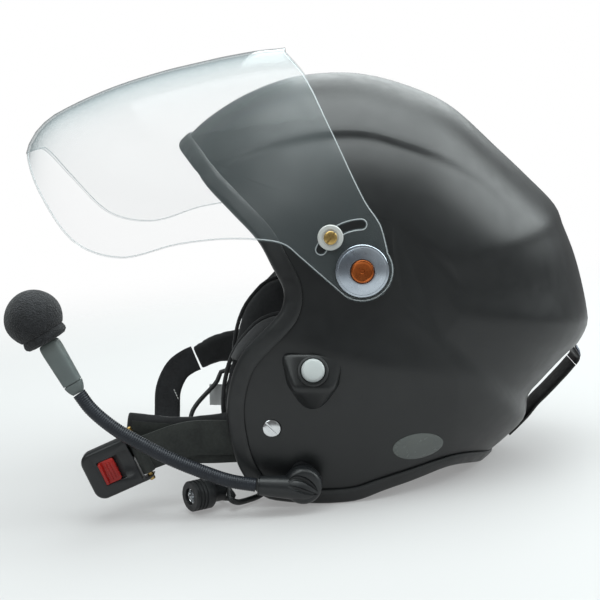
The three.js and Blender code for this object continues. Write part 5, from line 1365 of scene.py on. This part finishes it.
def strapPad(pad, body):
    pierced(pad)
    puffed(pad, straps["voxel"], straps["pressure"], straps["cap"])
    finished(pad, 60, "velvetCloth", body, body + "_pad")


def makeLeftStrap():
    band, _ = ribbonPiece("leftStrapBand", straps["left"], straps["width"], straps["width"],
                          straps["thickness"], 60, axisX)
    loop = onBuckle(rod("loop", mm(4.4), -mm(12.2), mm(12.2), 40), True)
    carved(band, loop, way="UNION")
    carved(band, onBuckle(rod("pinHole", mm(2.4), -mm(30), mm(30), 32), True))
    pierced(band)
    finished(band, 45, "strapGrey", "left_strap", "left_strap")
    pad, _ = ribbonPiece("leftStrapPad", straps["leftPad"], straps["padWidth"] - mm(1),
                         straps["padWidth"] * 0.7 - mm(1), straps["padThickness"] - mm(1.2), 56, axisX,
                         crown=mm(0.2), corner=0.7)
    strapPad(pad, "left_strap")
    low = [(back, up - straps["panelDrop"], side + straps["panelStand"])
           for back, up, side in straps["leftPad"]]
    panel, _ = ribbonPiece("leftStrapPanel", low, straps["padWidth"] * 0.76, straps["padWidth"] * 0.56,
                           mm(0.9), 56, axisX, 0.0, 0.97)
    pierced(panel)
    finished(panel, 45, "strapGrey", "left_strap")


def makeRightStrap():
    pad, _ = ribbonPiece("rightStrapPad", straps["rightPad"], mm(39), mm(19), straps["padThickness"] - mm(1.2),
                         48, axisX, crown=mm(0.2), corner=0.7)
    strapPad(pad, "right_strap")
    band, frames = ribbonPiece("rightWebbing", straps["webbing"], mm(20), mm(20), mm(2.2), 90, axisX)
    finished(band, 50, "webbing", "right_strap", "right_strap")
    places = []
    for sign in (1, -1):
        for side in (1, -1):
            places += edgeStitches(frames, mm(2.0), mm(2.8), side, sign)
    stitchRun("rightWebbingStitches", places, "darkThread", "right_strap")
    surface = surfaceTree(band)
    toLayout = restPlace().inverted()
    (across, down), (toAcross, toDown) = straps["tack"]
    row = []
    for share in (0, 0.25, 0.5, 0.75, 1):
        hit = surface.ray_cast(*pixelRay(across + (toAcross - across) * share,
                                         down + (toDown - down) * share))[0]
        if hit:
            row.append(toLayout @ hit)
    places = []
    for start, end in zip(row, row[1:]):
        places.append(((start + end) / 2 + Vector((mm(0.25), 0, 0)), (end - start).normalized(), axisX))
    if places:
        stitchRun("paleTack", places, "stitchThread", "right_strap", size=(mm(2.0), mm(0.8), mm(0.6)))


buckle = {
    "place": (-0.590, -0.436, 0.7859), "tilt": 24.6, "length": mm(44), "width": mm(33.6), "thickness": mm(11),
    "corner": mm(7.5), "wall": mm(2.2), "mouth": (mm(24), mm(20), mm(3.6)),
    "release": (mm(11), mm(16), mm(3.4)), "travel": mm(3), "start": mm(10.6), "slope": mm(2.6),
}
buckleTilt = math.radians(buckle["tilt"])
buckleAlong = Vector((0, math.cos(buckleTilt), math.sin(buckleTilt)))
buckleAcross = Vector((0, -math.sin(buckleTilt), math.cos(buckleTilt)))
pinReach = mm(16.9)


def acrossBuckle(obj):
    obj.data.transform(Matrix.Translation((pinReach, 0, 0)) @ Matrix.Rotation(math.radians(-90), 4, "X"))
    return obj


def onBuckle(obj, crosswise=False):
    # Places a piece made about the buckle's own middle: along, across, out.
    if crosswise:
        acrossBuckle(obj)
    turn = Matrix((buckleAlong, buckleAcross, axisX)).transposed().to_4x4()
    obj.data.transform(Matrix.Translation(spot(buckle["place"])) @ turn)
    return obj


def roundedPlate(name, length, width, depth, corner, edge):
    bpy.ops.mesh.primitive_plane_add(size=1, location=(0, 0, 0))
    made = bpy.context.object
    made.name = name
    made.data.transform(Matrix.Translation((0, 0, -depth / 2)) @ Matrix.Diagonal((length, width, 1, 1)))
    editAll(made)
    bpy.ops.mesh.bevel(offset=corner, segments=8, affect="VERTICES")
    bpy.ops.mesh.select_all(action="SELECT")
    bpy.ops.mesh.extrude_region_move(TRANSFORM_OT_translate={"value": (0, 0, depth)})
    bpy.ops.mesh.select_all(action="SELECT")
    bpy.ops.mesh.normals_make_consistent(inside=False)
    editDone()
    return rounded(made, edge, 4, 40) if edge else made


def makeBuckle():
    size, wall = buckle, buckle["wall"]
    half, thick = size["length"] / 2, size["thickness"]
    housing = roundedPlate("buckleHousing", size["length"], size["width"], thick, size["corner"], size["slope"])
    deep, wide, high = size["mouth"]
    mouth = boxPiece("mouth", (deep * 2, wide, high), (-half, 0, -wall))
    rear = mm(4.4) + mm(2) + wall
    rearSlot = boxPiece("rearSlot", (rear * 2, size["width"] - 2 * wall, thick * 2),
                        (pinReach - mm(4.4) - mm(0.8) + rear, 0, 0))
    start = -half + size["start"]
    pocketLength = size["release"][0] + size["travel"] + mm(0.8)
    pocket = boxPiece("pocket", (pocketLength, size["release"][1] + mm(0.8), size["release"][2] * 2),
                      (start + pocketLength / 2 - mm(0.4), 0, thick / 2))
    bpy.ops.mesh.primitive_uv_sphere_add(radius=size["width"] / 1.9, segments=64, ring_count=24,
                                         location=(0, 0, 0))
    scoop = bpy.context.object
    scoop.data.transform(Matrix.Translation((start + pocketLength + wall, 0, thick / 2 + size["width"] / 2.3)))
    pinHole = acrossBuckle(rod("pinHole", mm(2.3), -mm(30), mm(30), 32))
    carved(housing, mouth, rearSlot, pocket, scoop, pinHole)
    rounded(housing, mm(0.35), 2, 50)
    finished(onBuckle(housing), 35, "blackPlastic", "buckle", "buckle_housing")
    length, width, height = size["release"]
    block = roundedPlate("buckleRelease", length, width, height, mm(1.6), mm(0.5))
    block.data.transform(Matrix.Translation((start + length / 2, 0, thick / 2 - height / 2 + mm(0.3))))
    top = thick / 2 + wall / 3
    bar = rounded(boxPiece("bar", (mm(2.2), width - mm(1), mm(3)), (start + mm(1.5), 0, top + mm(0.7))),
                  mm(0.6), 3)
    ribs = [rounded(boxPiece("rib", (mm(1.2), width - mm(4), mm(0.8)),
                             (start + mm(5.2) + mm(2.2) * i, 0, thick / 2 + mm(0.4))), mm(0.25), 2)
            for i in range(3)]
    block = joined("buckleRelease", block, bar, *ribs)
    finished(onBuckle(block), 35, "releaseRed", "release", "buckle_release")
    r = mm(2)
    pin = turnedPiece("bucklePin", [(0, -mm(18)), (r - mm(0.4), -mm(18)), (r, -mm(17.6)), (r, mm(20.6)),
                                    (r - mm(0.4), mm(21)), (0, mm(21))], 40)
    finished(onBuckle(pin, True), 35, "brass", "buckle", "buckle_pin")


def makeTongue():
    end = spot(straps["webbing"][-1])
    plate = roundedPlate("strapTongue", mm(24), mm(17), mm(1.6), mm(2.5), mm(0.35))
    carved(plate, boxPiece("tongueSlot", (mm(5), mm(10.2), mm(6)), (mm(6), 0, 0)))
    plate.data.transform(Matrix.Translation((end.x + mm(0.9) + mm(12), end.y, end.z)))
    finished(plate, 35, "chrome", "tongue", "strap_tongue")


makeLeftStrap()
makeRightStrap()
makeBuckle()
makeTongue()
print("straps ready")

# boom microphone

boom = {
    "place": (-0.163, -0.459), "plateStand": mm(106.2), "plateThickness": mm(3), "radius": mm(12.5),
    "thickness": mm(11.4), "gap": mm(0.4), "ferrule": mm(6.2), "neckRadius": mm(4.6), "ribPitch": mm(1.5),
    "ribDepth": mm(0.24),
    "neck": [(-0.266, -0.459, 0.9787), (-0.330, -0.448, 0.9787), (-0.394, -0.426, 0.9763),
             (-0.460, -0.399, 0.9714), (-0.523, -0.367, 0.9665), (-0.588, -0.329, 0.9567),
             (-0.640, -0.286, 0.9421), (-0.668, -0.250, 0.9275)],
    "foam": (-0.766, -0.081, 0.8982), "foamRadius": mm(18.5), "foamStand": mm(19.37), "collarRadius": mm(15),
    "collarHeight": mm(7), "capsule": mm(37), "baseWidth": mm(12), "baseHeight": mm(9), "tipWidth": mm(14),
    "tipHeight": mm(13),
    "grooves": [  # places in mm from the pivot, depth, radius
        ("upperGroove", [(-9.0, 4.4), (-5.5, 6.2), (0.5, 5.2), (6.0, 1.4), (9.4, -2.8)], mm(1.8), mm(2.0)),
        ("lowerGroove", [(-9.4, 1.6), (-5.0, 0.2), (0.0, -1.6), (5.0, -3.6), (9.6, -5.2)], mm(1.6), mm(1.8)),
    ],
}
boomPlace = spot(boom["place"])
neckLine = splinePoints([spot(p) for p in boom["neck"]], 40)
neckRun = runLengths(neckLine)
neckEnd = neckLine[-1]
micAhead = (spot(boom["foam"]) - neckEnd).normalized()
foamMiddle = neckEnd + micAhead * (boom["capsule"] + boom["foamStand"])


def circleRing(middle, flat, wide, radius, sides):
    turns = [2 * math.pi * j / sides for j in range(sides)]
    return [middle + flat * (radius * math.cos(turn)) + wide * (radius * math.sin(turn)) for turn in turns]


def tubeAlong(name, points, radii, sides):
    rings = []
    flat = axisX.copy()
    for i, (middle, radius) in enumerate(zip(points, radii)):
        along = (points[min(i + 1, len(points) - 1)] - points[max(i - 1, 0)]).normalized()
        flat = (flat - along * flat.dot(along)).normalized()
        rings.append(circleRing(middle, flat, along.cross(flat), radius, sides))
    return skin(name, rings)


def fromSide(tree, place):
    # Where the surface lies, seen from the left at this place, and which way it faces; None past its edge.
    hit, out = tree.ray_cast(Vector((mm(200), place.y, place.z)), -axisX)[:2]
    return (hit, out) if hit and hit.x > 0 else None


def swoosh(name, head, places, depth, radius):
    # A groove that starts fine, deepens and runs out to a point on the face of the boom's head.
    tree = surfaceTree(head)
    line = splinePoints([Vector((0, boomPlace.y + mm(a), boomPlace.z + mm(b))) for a, b in places], 16)
    last = len(line) - 1
    radii = [max(mm(0.05), radius * math.sin(math.pi * min(1, (0.12 + 0.88 * i / last))) ** 0.7)
             for i in range(last + 1)]
    for i, point in enumerate(line):
        point.x = fromSide(tree, point)[0].x + radii[i] * 0.9 - depth * math.sin(math.pi * i / last) ** 0.6
    return tubeAlong(name, line, radii, 20)


def makeBoomArm():
    face = boom["plateStand"] + boom["plateThickness"] + boom["gap"]
    r, t = boom["radius"], boom["thickness"]
    profile = [(0, 0), (r - mm(1.9), 0), (r - mm(0.6), mm(0.6)), (r, mm(1.9)), (r, t - mm(5.6))]
    for step in range(1, 9):
        turn = math.pi / 2 * step / 8
        profile.append((r - mm(3.6) + mm(3.6) * math.cos(turn), t - mm(5.6) + mm(4.6) * math.sin(turn)))
    profile += [(r * 0.4, t - mm(0.55)), (0, t - mm(0.4))]
    head = onSide(turnedPiece("boomArm", profile, 96), face, boomPlace, 1)
    start = neckLine[0]
    points, radii = [], []
    steps = 36
    for i in range(steps + 1):
        share = i / steps
        back = start.y + share * (boomPlace.y + r * 0.86 - start.y)
        lead = clamp((back - start.y) / (boomPlace.y - start.y))
        past = clamp((back - boomPlace.y + mm(2)) / (r * 0.86 + mm(2)))
        points.append(Vector((start.x - mm(0.4) * lead, back, start.z - mm(2.0) * lead - mm(1.4) * past)))
        radii.append((boom["ferrule"] + mm(2.2) * lead) * math.sqrt(max(0.002, 1 - past ** 1.8)))
    carved(head, tubeAlong("ferrule", points, radii, 40), way="UNION")
    carved(head, *[swoosh(name, head, *sizes) for name, *sizes in boom["grooves"]])
    carved(head, onSide(rod("bore", mm(3.3), -mm(3), mm(8), 32), face, boomPlace, 1))
    along = (points[1] - points[0]).normalized()
    carved(head, aimed(washer("jointGroove", mm(5.2), mm(9), mm(0.25), 48), points[0] + along * mm(0.9), along))
    finished(head, 38, "blackPlastic", "boom", "boom_arm")


def makeNeck():
    length = neckRun[-1]
    count = round((length - mm(1.2)) / boom["ribPitch"])
    pitch = (length - mm(1.2)) / count
    rings = []
    flat = axisX.copy()
    shape = ((0.0, 1.0), (0.2, 0.6), (0.38, 0.08), (0.62, 0.08), (0.8, 0.6))
    for rib in range(count):
        for part, low in shape:
            share = min(1.0, (mm(1.2) + (rib + part) * pitch) / length)
            middle = alongLine(neckLine, neckRun, share)
            along = heading(neckLine, neckRun, share, 0.004)
            flat = (flat - along * flat.dot(along)).normalized()
            rings.append(circleRing(middle, flat, along.cross(flat),
                                    boom["neckRadius"] - boom["ribDepth"] * low, 18))
    neck = skin("gooseneck", rings)
    finished(neck, 50, "neckSteel", "boom", "gooseneck")
    return count


def makeCapsule():
    flat = (axisX - micAhead * axisX.dot(micAhead)).normalized()
    wide = micAhead.cross(flat)
    rings = []
    outlineOf = [(0, 0.62), (0.02, 0.78), (0.07, 0.9), (0.14, 1.0), (0.5, 1.0), (0.84, 1.0), (0.93, 0.97),
                 (0.98, 0.9), (1.0, 0.8)]
    for along, shrink in outlineOf:
        middle = neckEnd + micAhead * (mm(1.2) * (1 if along else 0.2) + along * boom["capsule"])
        w = shrink * (boom["baseWidth"] + (boom["tipWidth"] - boom["baseWidth"]) * along) / 2
        h = shrink * (boom["baseHeight"] + (boom["tipHeight"] - boom["baseHeight"]) * along) / 2
        ring = []
        for j in range(40):
            turn = 2 * math.pi * j / 40
            c, s = math.cos(turn), math.sin(turn)
            ring.append(middle + flat * (h * math.copysign(abs(c) ** 0.42, c))
                        + wide * (w * math.copysign(abs(s) ** 0.42, s)))
        rings.append(ring)
    capsule = skin("micCapsule", rings)
    seam = neckEnd + micAhead * (mm(1.2) + boom["capsule"] * 0.17)
    groove = aimed(washer("seam", mm(3), mm(12), mm(0.3), 40), seam, micAhead)
    inner = rounded(boxPiece("seamCore", (mm(7.4), mm(10), mm(4))), mm(1.6), 4, 30)
    turn = Matrix((flat, wide, micAhead)).transposed().to_4x4()
    inner.data.transform(Matrix.Translation(seam) @ turn)
    carved(groove, inner)
    carved(capsule, groove)
    finished(capsule, 35, "capsuleGrey", "boom", "mic_capsule")


def makeFoam():
    start = mm(1.5) - boom["foamStand"]
    collar = boom["collarRadius"]
    top = start + boom["collarHeight"]
    profile = [(0, start), (collar * 0.62, start), (collar * 0.85, start + mm(0.5)),
               (collar * 0.97, start + mm(2)), (collar, start + mm(3.6)), (collar * 0.97, top - mm(1.2)),
               (collar * 0.945, top - mm(0.3))]
    low = math.asin(top / boom["foamRadius"])
    for step in range(29):
        turn = low + (math.pi / 2 - low) * step / 28
        radius = boom["foamRadius"] + mm(0.5) * math.exp(-((step - 10) / 6) ** 2)
        profile.append((0 if step == 28 else radius * math.cos(turn), radius * math.sin(turn)))
    foam = turnedPiece("micFoam", profile, 72)
    for vertex in foam.data.vertices:
        side = math.atan2(vertex.co.y, vertex.co.x)
        grow = 1 + 0.012 * math.sin(3 * side + 40 * vertex.co.z)
        grow += 0.008 * math.sin(7 * side - 160 * vertex.co.z)
        vertex.co.x *= grow
        vertex.co.y *= grow
    aimed(foam, foamMiddle, micAhead)
    finished(foam, 60, "micFoam", "boom", "mic_foam")


# Sizes of the pale tube that paints the highlight along the visor's edges.
rim = {"inset": mm(0.75), "deep": mm(0.75), "radius": mm(0.36), "outlinePoints": 900, "slotPoints": 160,
       "sides": 8}


def rimPath(tree, outline, count):
    # The outline moved just inside the sheet, laid along the sheet's left side.
    line = evenly([Vector((0, back, up)) for back, up in outline], count)
    best = []
    for way in (1, -1):
        found = []
        for i, point in enumerate(line):
            along = (line[min(i + 1, count)] - line[max(i - 1, 0)]).normalized()
            hit = fromSide(tree, point + Vector((0, -along.z, along.y)) * (rim["inset"] * way))
            if hit:
                found.append(hit[0] - hit[1] * rim["deep"])
        best = max(best, found, key=len)
    return best


def makeVisorRimHighlight():
    # A pale tube just inside the clear sheet paints the highlight of the polished rim as a bright line, round
    # its outline and round both slots.
    sheet = visorPiece.copy()
    sheet.data = visorPiece.data.copy()
    sheet.data.transform(restPlace().inverted())
    tree = surfaceTree(sheet)
    bpy.data.objects.remove(sheet)
    size = layout["length"]
    ends = [(pivotPlace.y + back * size, pivotPlace.z + up * size)
            for back, up in ((-0.172, 0.6), (-0.95, 0.232))]
    outline = visorOutline()[:-3]
    left = rimPath(tree, [ends[0]] + outline + [ends[1]], rim["outlinePoints"])
    slot = rimPath(tree, slotOutline() + slotOutline()[:1], rim["slotPoints"])
    slot.append(slot[0])
    lines = [left + otherSide(reversed(left)) + [left[0]], slot, otherSide(slot)]
    for name, line in zip(("visorRimHighlight", "leftSlotRimHighlight", "rightSlotRimHighlight"), lines):
        made = tubeAlong(name, line, [rim["radius"]] * len(line), rim["sides"])
        finished(made, 60, "paintedEdgeHighlight", "visor")
    print("visor rim", len(left), len(slot) - 1)


makeVisorRimHighlight()
makeBoomArm()
print("gooseneck ribs", makeNeck())
makeCapsule()
makeFoam()

# retainer for a goggle strap, with its rivet and snap stud


def makeRetainer():
    line = splinePoints([spot(p) for p in straps["retainer"]], 40)
    run = runLengths(line)

    def across(share):
        along = heading(line, run, share, 0.005)
        return Vector((0, -along.z, along.y))
    tabStart = across(0.0) * -1
    width, thick, fold = straps["retainerWidth"], straps["retainerThickness"], straps["fold"]
    gap = mm(0.3) / run[-1]
    tab, _ = ribbonPiece("retainerTab", straps["retainer"], width - mm(1), width, thick, 16, tabStart, 0.0,
                         fold - gap)
    finished(tab, 45, "retainerLeather", "helmet", "goggle_strap_tab")
    band, frames = ribbonPiece("retainerBand", straps["retainer"], width, width, thick, 72, across(fold),
                               fold + gap, 1.0)
    studOut = across(straps["stud"])
    studPlace = alongLine(line, run, straps["stud"])
    carved(band, aimed(rod("studHole", mm(2.7), -mm(30), mm(30), 32), studPlace, studOut))
    finished(band, 45, "retainerLeather", "goggle_retainer", "goggle_strap")
    places = []
    for sign in (1, -1):
        places += edgeStitches(frames, mm(2.6), mm(3.2), 1, sign)
    stitchRun("retainerStitches", places, "darkThread", "goggle_retainer")
    over = thick / 2 + mm(0.3)
    profile = [(mm(radius), mm(height)) for radius, height in straps["capProfile"]]
    cap = aimed(turnedPiece("snapCap", profile, 64), studPlace + studOut * over, studOut)
    finished(cap, 35, "darkSteel", "goggle_retainer", "snap_cap")
    rivetOut = across(fold / 2)
    rivet = aimed(turnedPiece("retainerRivet", profile, 64), alongLine(line, run, fold / 2) + rivetOut * over,
                  rivetOut)
    finished(rivet, 35, "darkSteel", "helmet", "goggle_strap_rivet")


makeRetainer()
print("boom and retainer ready")

# padding: cheek pads, ear seals, crown and nape pads, each but the ear seals swelled as stuffed cloth

padding = {"pressure": 4.0, "voxel": 0.004, "cap": mm(1.2), "turns": 96, "piping": mm(1.5), "liner": mm(27.9),
           "bandColumns": 44, "bandAcross": 22, "sealTube": mm(7), "sealOuter": mm(33), "bandCap": mm(0.8),
           "bands": [("crownLining", mm(7), 2 / 17, 10 / 17, 1, "crown_lining"),
                     ("napePad", mm(9), 12 / 17, 16 / 17, 2, "nape_pad")]}


def padSection(turn):
    rim = padReach(turn)
    middle = (pads["hole"] + rim) / 2
    face, crown = pads["face"], pads["crown"]
    swell = padSwell(turn)

    def at(reach, side=None):
        back = earPlace.y + reach * math.cos(turn)
        up = earPlace.z + reach * math.sin(turn)
        return Vector((lateral(back, up) - pads["outer"] if side is None else side, back, up))
    outer = at(rim)
    outer.x -= pads["tuck"]
    waist = (outer.x + face) / 2
    lip = mm(2.5)
    return [at(pads["hole"]), at(middle), outer, at(rim + swell * 0.75, waist + (outer.x - waist) * 0.5),
            at(rim + swell, waist - crown), at(rim + swell * 0.85, face + lip), at(rim + swell * 0.5, face),
            at(middle, face - crown), at(pads["hole"] + lip, face - crown * 0.6),
            at(pads["hole"], face + lip * 0.4)]


def makeCheekPads():
    rings = [padSection(2 * math.pi * i / padding["turns"]) for i in range(padding["turns"])]
    pad = skin("cheekPadLeft", rings, loop=True)
    corner = spot(pads["pocketShares"])
    size = layout["length"] / 2
    carved(pad, boxPiece("pocket", (0.3, size, size),
                         (pads["pocketSide"] + 0.15, corner.y - size / 2, corner.z - size / 2)))
    puffed(pad, padding["voxel"], padding["pressure"], padding["cap"])
    bead = loopTube("piping", [section[4].lerp(section[5], 0.55) for section in rings], padding["piping"], 12)
    pad = joined("cheekPadLeft", pad, bead)
    smoothed(seated(pad), 60)
    for word, piece in (("left", pad), ("right", mirroredCopy(pad, "cheekPadRight"))):
        dressed(piece, "padCloth", "helmet", "cheek_pad_" + word)


def loopTube(name, points, radius, sides):
    rings = []
    count = len(points)
    for i, middle in enumerate(points):
        along = (points[(i + 1) % count] - points[i - 1]).normalized()
        flat = (axisX - along * axisX.dot(along)).normalized()
        rings.append(circleRing(middle, flat, along.cross(flat), radius, sides))
    return skin(name, rings, loop=True)


def makeEarSeals():
    tube = padding["sealTube"]
    middle = padding["sealOuter"] - tube * 1.02
    profile = []
    for step in range(28):
        turn = 2 * math.pi * step / 28
        radius = tube * (0.96 if math.sin(turn) < 0 else 0.98)
        profile.append((middle + radius * math.cos(turn), math.sin(turn) * tube * 0.98))
    profile.append(profile[0])
    seal = turnedPiece("earSealLeft", profile, 96)
    for vertex in seal.data.vertices:
        side = math.atan2(vertex.co.y, vertex.co.x)
        inner = clamp((middle - math.hypot(vertex.co.x, vertex.co.y)) / tube + 0.6)
        vertex.co.z += mm(0.28) * inner * math.sin(22 * side)
    onSide(seal, pads["face"] - tube, earPlace, 1)
    smoothed(seated(seal), 60)
    for word, piece in (("left", seal), ("right", mirroredCopy(seal, "earSealRight"))):
        dressed(piece, "retainerLeather", "helmet", "ear_seal_" + word)


def drawnIn(point, depth):
    return point * (1 - depth / point.length)


def bandPiece(name, depth, thickness, fromShare, toShare, skipped):
    # A curved pad inside the crown between two columns of the shell's fan.
    line = evenly(crownLine, 400)
    columns, across = padding["bandColumns"], padding["bandAcross"]
    rings = []
    for i in range(columns + 1):
        share = fromShare + (toShare - fromShare) * i / columns
        end = line[round(share * (len(line) - 1))]
        root = fanPlace.lerp(end, 0.3)
        start = sweepOf(outlineShare(root.y, root.z))
        places = []
        first = skipped / 5
        for step in range(across + 1):
            sweep = start + (math.pi / 2 - start) * (first + (1 - first) * step / across)
            along = 1.0 if step == across else alongTo(end, shareOf(sweep))
            place = fanPlace.lerp(end, along)
            places.append(Vector((0 if step == across else lateral(place.y, place.z), place.y, place.z)))
        full = places + otherSide(reversed(places[:-1]))
        edge = min(i, columns - i) / 2.5
        ring = []
        last = len(full) - 1
        for side, order in ((0, range(last + 1)), (1, range(last, -1, -1))):
            for j in order:
                rim = min(1.0, min(j, last - j) / 2.5, edge)
                pinch = (1 - math.sqrt(max(0.0, 1 - (1 - rim) ** 2))) * 0.42
                ring.append(drawnIn(full[j], depth + thickness * (pinch if side == 0 else 1 - pinch)))
        rings.append(ring)
    return skin(name, rings)


def makeBands():
    for name, thickness, fromShare, toShare, skipped, replaced in padding["bands"]:
        band = bandPiece(name, padding["liner"], thickness, fromShare, toShare, skipped)
        puffed(band, padding["voxel"], padding["pressure"], padding["bandCap"])
        finished(band, 60, "liningCloth", "helmet", replaced)


makeCheekPads()
makeEarSeals()
makeBands()
print("padding ready")

# care label under the right cheek pad

careLabel = {"degrees": 208, "beyond": -mm(1.2), "side": mm(79), "length": mm(18), "height": mm(17),
             "forward": mm(7), "steps": 24, "bow": mm(0.5), "ripple": mm(0.35), "thickness": mm(0.45)}


def makeLabel():
    start = padRimPoint(careLabel["degrees"], careLabel["beyond"], -careLabel["side"])
    middle = Vector((start.x, start.y - careLabel["length"] / 2 - careLabel["forward"], start.z))
    steps = careLabel["steps"]
    bpy.ops.mesh.primitive_grid_add(x_subdivisions=steps, y_subdivisions=steps, size=1, location=(0, 0, 0))
    label = bpy.context.object
    label.name = "careLabel"
    label.data.transform(Matrix.Diagonal((careLabel["length"], careLabel["height"], 1, 1)))
    for vertex in label.data.vertices:
        across, up = vertex.co.x, vertex.co.y
        bow = careLabel["bow"] * math.cos(math.pi * across / careLabel["length"])
        bow += careLabel["ripple"] * math.sin(5 * up / careLabel["height"])
        vertex.co = middle + Vector((bow - mm(0.3), across, up))
    thick = label.modifiers.new("thickness", "SOLIDIFY")
    thick.thickness, thick.offset = careLabel["thickness"], 0
    applyModifiers(label)
    finished(label, 50, "labelCloth", "helmet", "care_label")


makeLabel()

# materials on the CAD pieces that stay as they are

slotLooks = {
    "shell_paint": "shellPaint", "trim_rubber": "trimRubber", "liner_foam": "linerFoam",
    "lining_cloth": "liningCloth", "strap_cloth": "strapGrey", "webbing": "webbing", "mic_foam": "micFoam",
    "clear_visor": "clearVisor", "pivot_disc": "turnedDisc", "bronze": "bronze", "brass": "brass",
    "chrome": "chrome", "white_nylon": "nylon", "grey_plastic": "buttonGrey",
    "capsule_plastic": "capsuleGrey", "red_plastic": "releaseRed", "black_plastic": "blackPlastic",
    "dark_steel": "darkSteel", "black_rubber": "trimRubber", "label_cloth": "labelCloth",
}


def dressNodes():
    count = 0
    for part in nodes.values():
        for slot in part.material_slots:
            plain = slot.material.name.split(".")[0] if slot.material else ""
            if plain in slotLooks:
                slot.material = looks[slotLooks[plain]]
                count += 1
            elif plain not in looks:
                print("no look for", part.name, plain)
    return count


print("materials on plain pieces", dressNodes())

# floor and light

studio = {
    "floorSize": 6.0, "floorDrop": 0.0004, "floorTone": 0.34, "floorGlow": 0.26, "world": 0.2,
    "fadeFrom": 0.45, "fadeTo": 1.0, "lampTint": (0.93, 1.0, 1.0), "aim": (0, 0, 0.14),
    "lamps": [  # power, size and place
        ("keyLight", 11, 1.2, (1.3, -0.9, 1.5)), ("fillLight", 1.5, 1.4, (1.6, 1.2, 0.7)),
        ("topLight", 46, 1.8, (0.0, 0.1, 1.8)), ("rearLight", 33, 1.5, (-0.1, 1.5, 1.15)),
        ("backLight", 12, 1.2, (-1.5, 0.4, 1.1)),
    ],
}


def makeStudio():
    bpy.ops.mesh.primitive_plane_add(size=studio["floorSize"], location=(0, 0, 0))
    floor = bpy.context.object
    floor.name = "paleFloor"
    floor.data.transform(Matrix.Translation((0, 0, -studio["floorDrop"])))
    made, tree, shader = shaderTree("paleFloor")
    pale = studio["floorTone"]
    shader.inputs["Base Color"].default_value = (pale, pale, pale, 1)
    shader.inputs["Roughness"].default_value = 0.9
    path = node(tree, "ShaderNodeLightPath")
    seen = maths(tree, "MAXIMUM", path.outputs["Is Camera Ray"],
                 maths(tree, "MAXIMUM", path.outputs["Is Glossy Ray"], path.outputs["Is Transmission Ray"]))
    glow = node(tree, "ShaderNodeEmission", Color=(1, 1, 1, 1),
                Strength=maths(tree, "MULTIPLY", seen, studio["floorGlow"]))
    both = node(tree, "ShaderNodeAddShader")
    wire(tree, shader.outputs[0], both.inputs[0])
    wire(tree, glow.outputs[0], both.inputs[1])
    reach = node(tree, "ShaderNodeVectorMath", operation="LENGTH",
                 Vector=node(tree, "ShaderNodeTexCoord").outputs["Object"])
    limits = {"From Min": studio["fadeFrom"], "From Max": studio["fadeTo"]}
    fade = node(tree, "ShaderNodeMapRange", interpolation_type="SMOOTHSTEP", Value=reach.outputs["Value"],
                **limits)
    gone = node(tree, "ShaderNodeBsdfTransparent")
    mixed = node(tree, "ShaderNodeMixShader", Fac=fade.outputs["Result"])
    wire(tree, both.outputs[0], mixed.inputs[1])
    wire(tree, gone.outputs[0], mixed.inputs[2])
    wire(tree, mixed.outputs[0], tree.nodes["Material Output"].inputs["Surface"])
    floor.data.materials.append(made)
    world = bpy.data.worlds.new("studio")
    bpy.context.scene.world = world
    world.use_nodes = True
    tree = world.node_tree
    back = tree.nodes["Background"]
    path = node(tree, "ShaderNodeLightPath")
    seen = maths(tree, "MAXIMUM", path.outputs["Is Camera Ray"], path.outputs["Is Transmission Ray"])
    strength = maths(tree, "ADD", maths(tree, "MULTIPLY", seen, 1 - studio["world"]), studio["world"])
    back.inputs["Color"].default_value = (1, 1, 1, 1)
    wire(tree, strength, back.inputs["Strength"])
    for name, energy, size, place in studio["lamps"]:
        data = bpy.data.lights.new(name, "AREA")
        data.energy, data.size, data.color = energy, size, studio["lampTint"]
        lamp = linked(name, data)
        aim = Vector(studio["aim"]) - Vector(place)
        lamp.matrix_world = Matrix.Translation(place) @ aim.to_track_quat("-Z", "Y").to_matrix().to_4x4()
    bpy.context.scene.view_settings.view_transform = "Standard"


makeStudio()
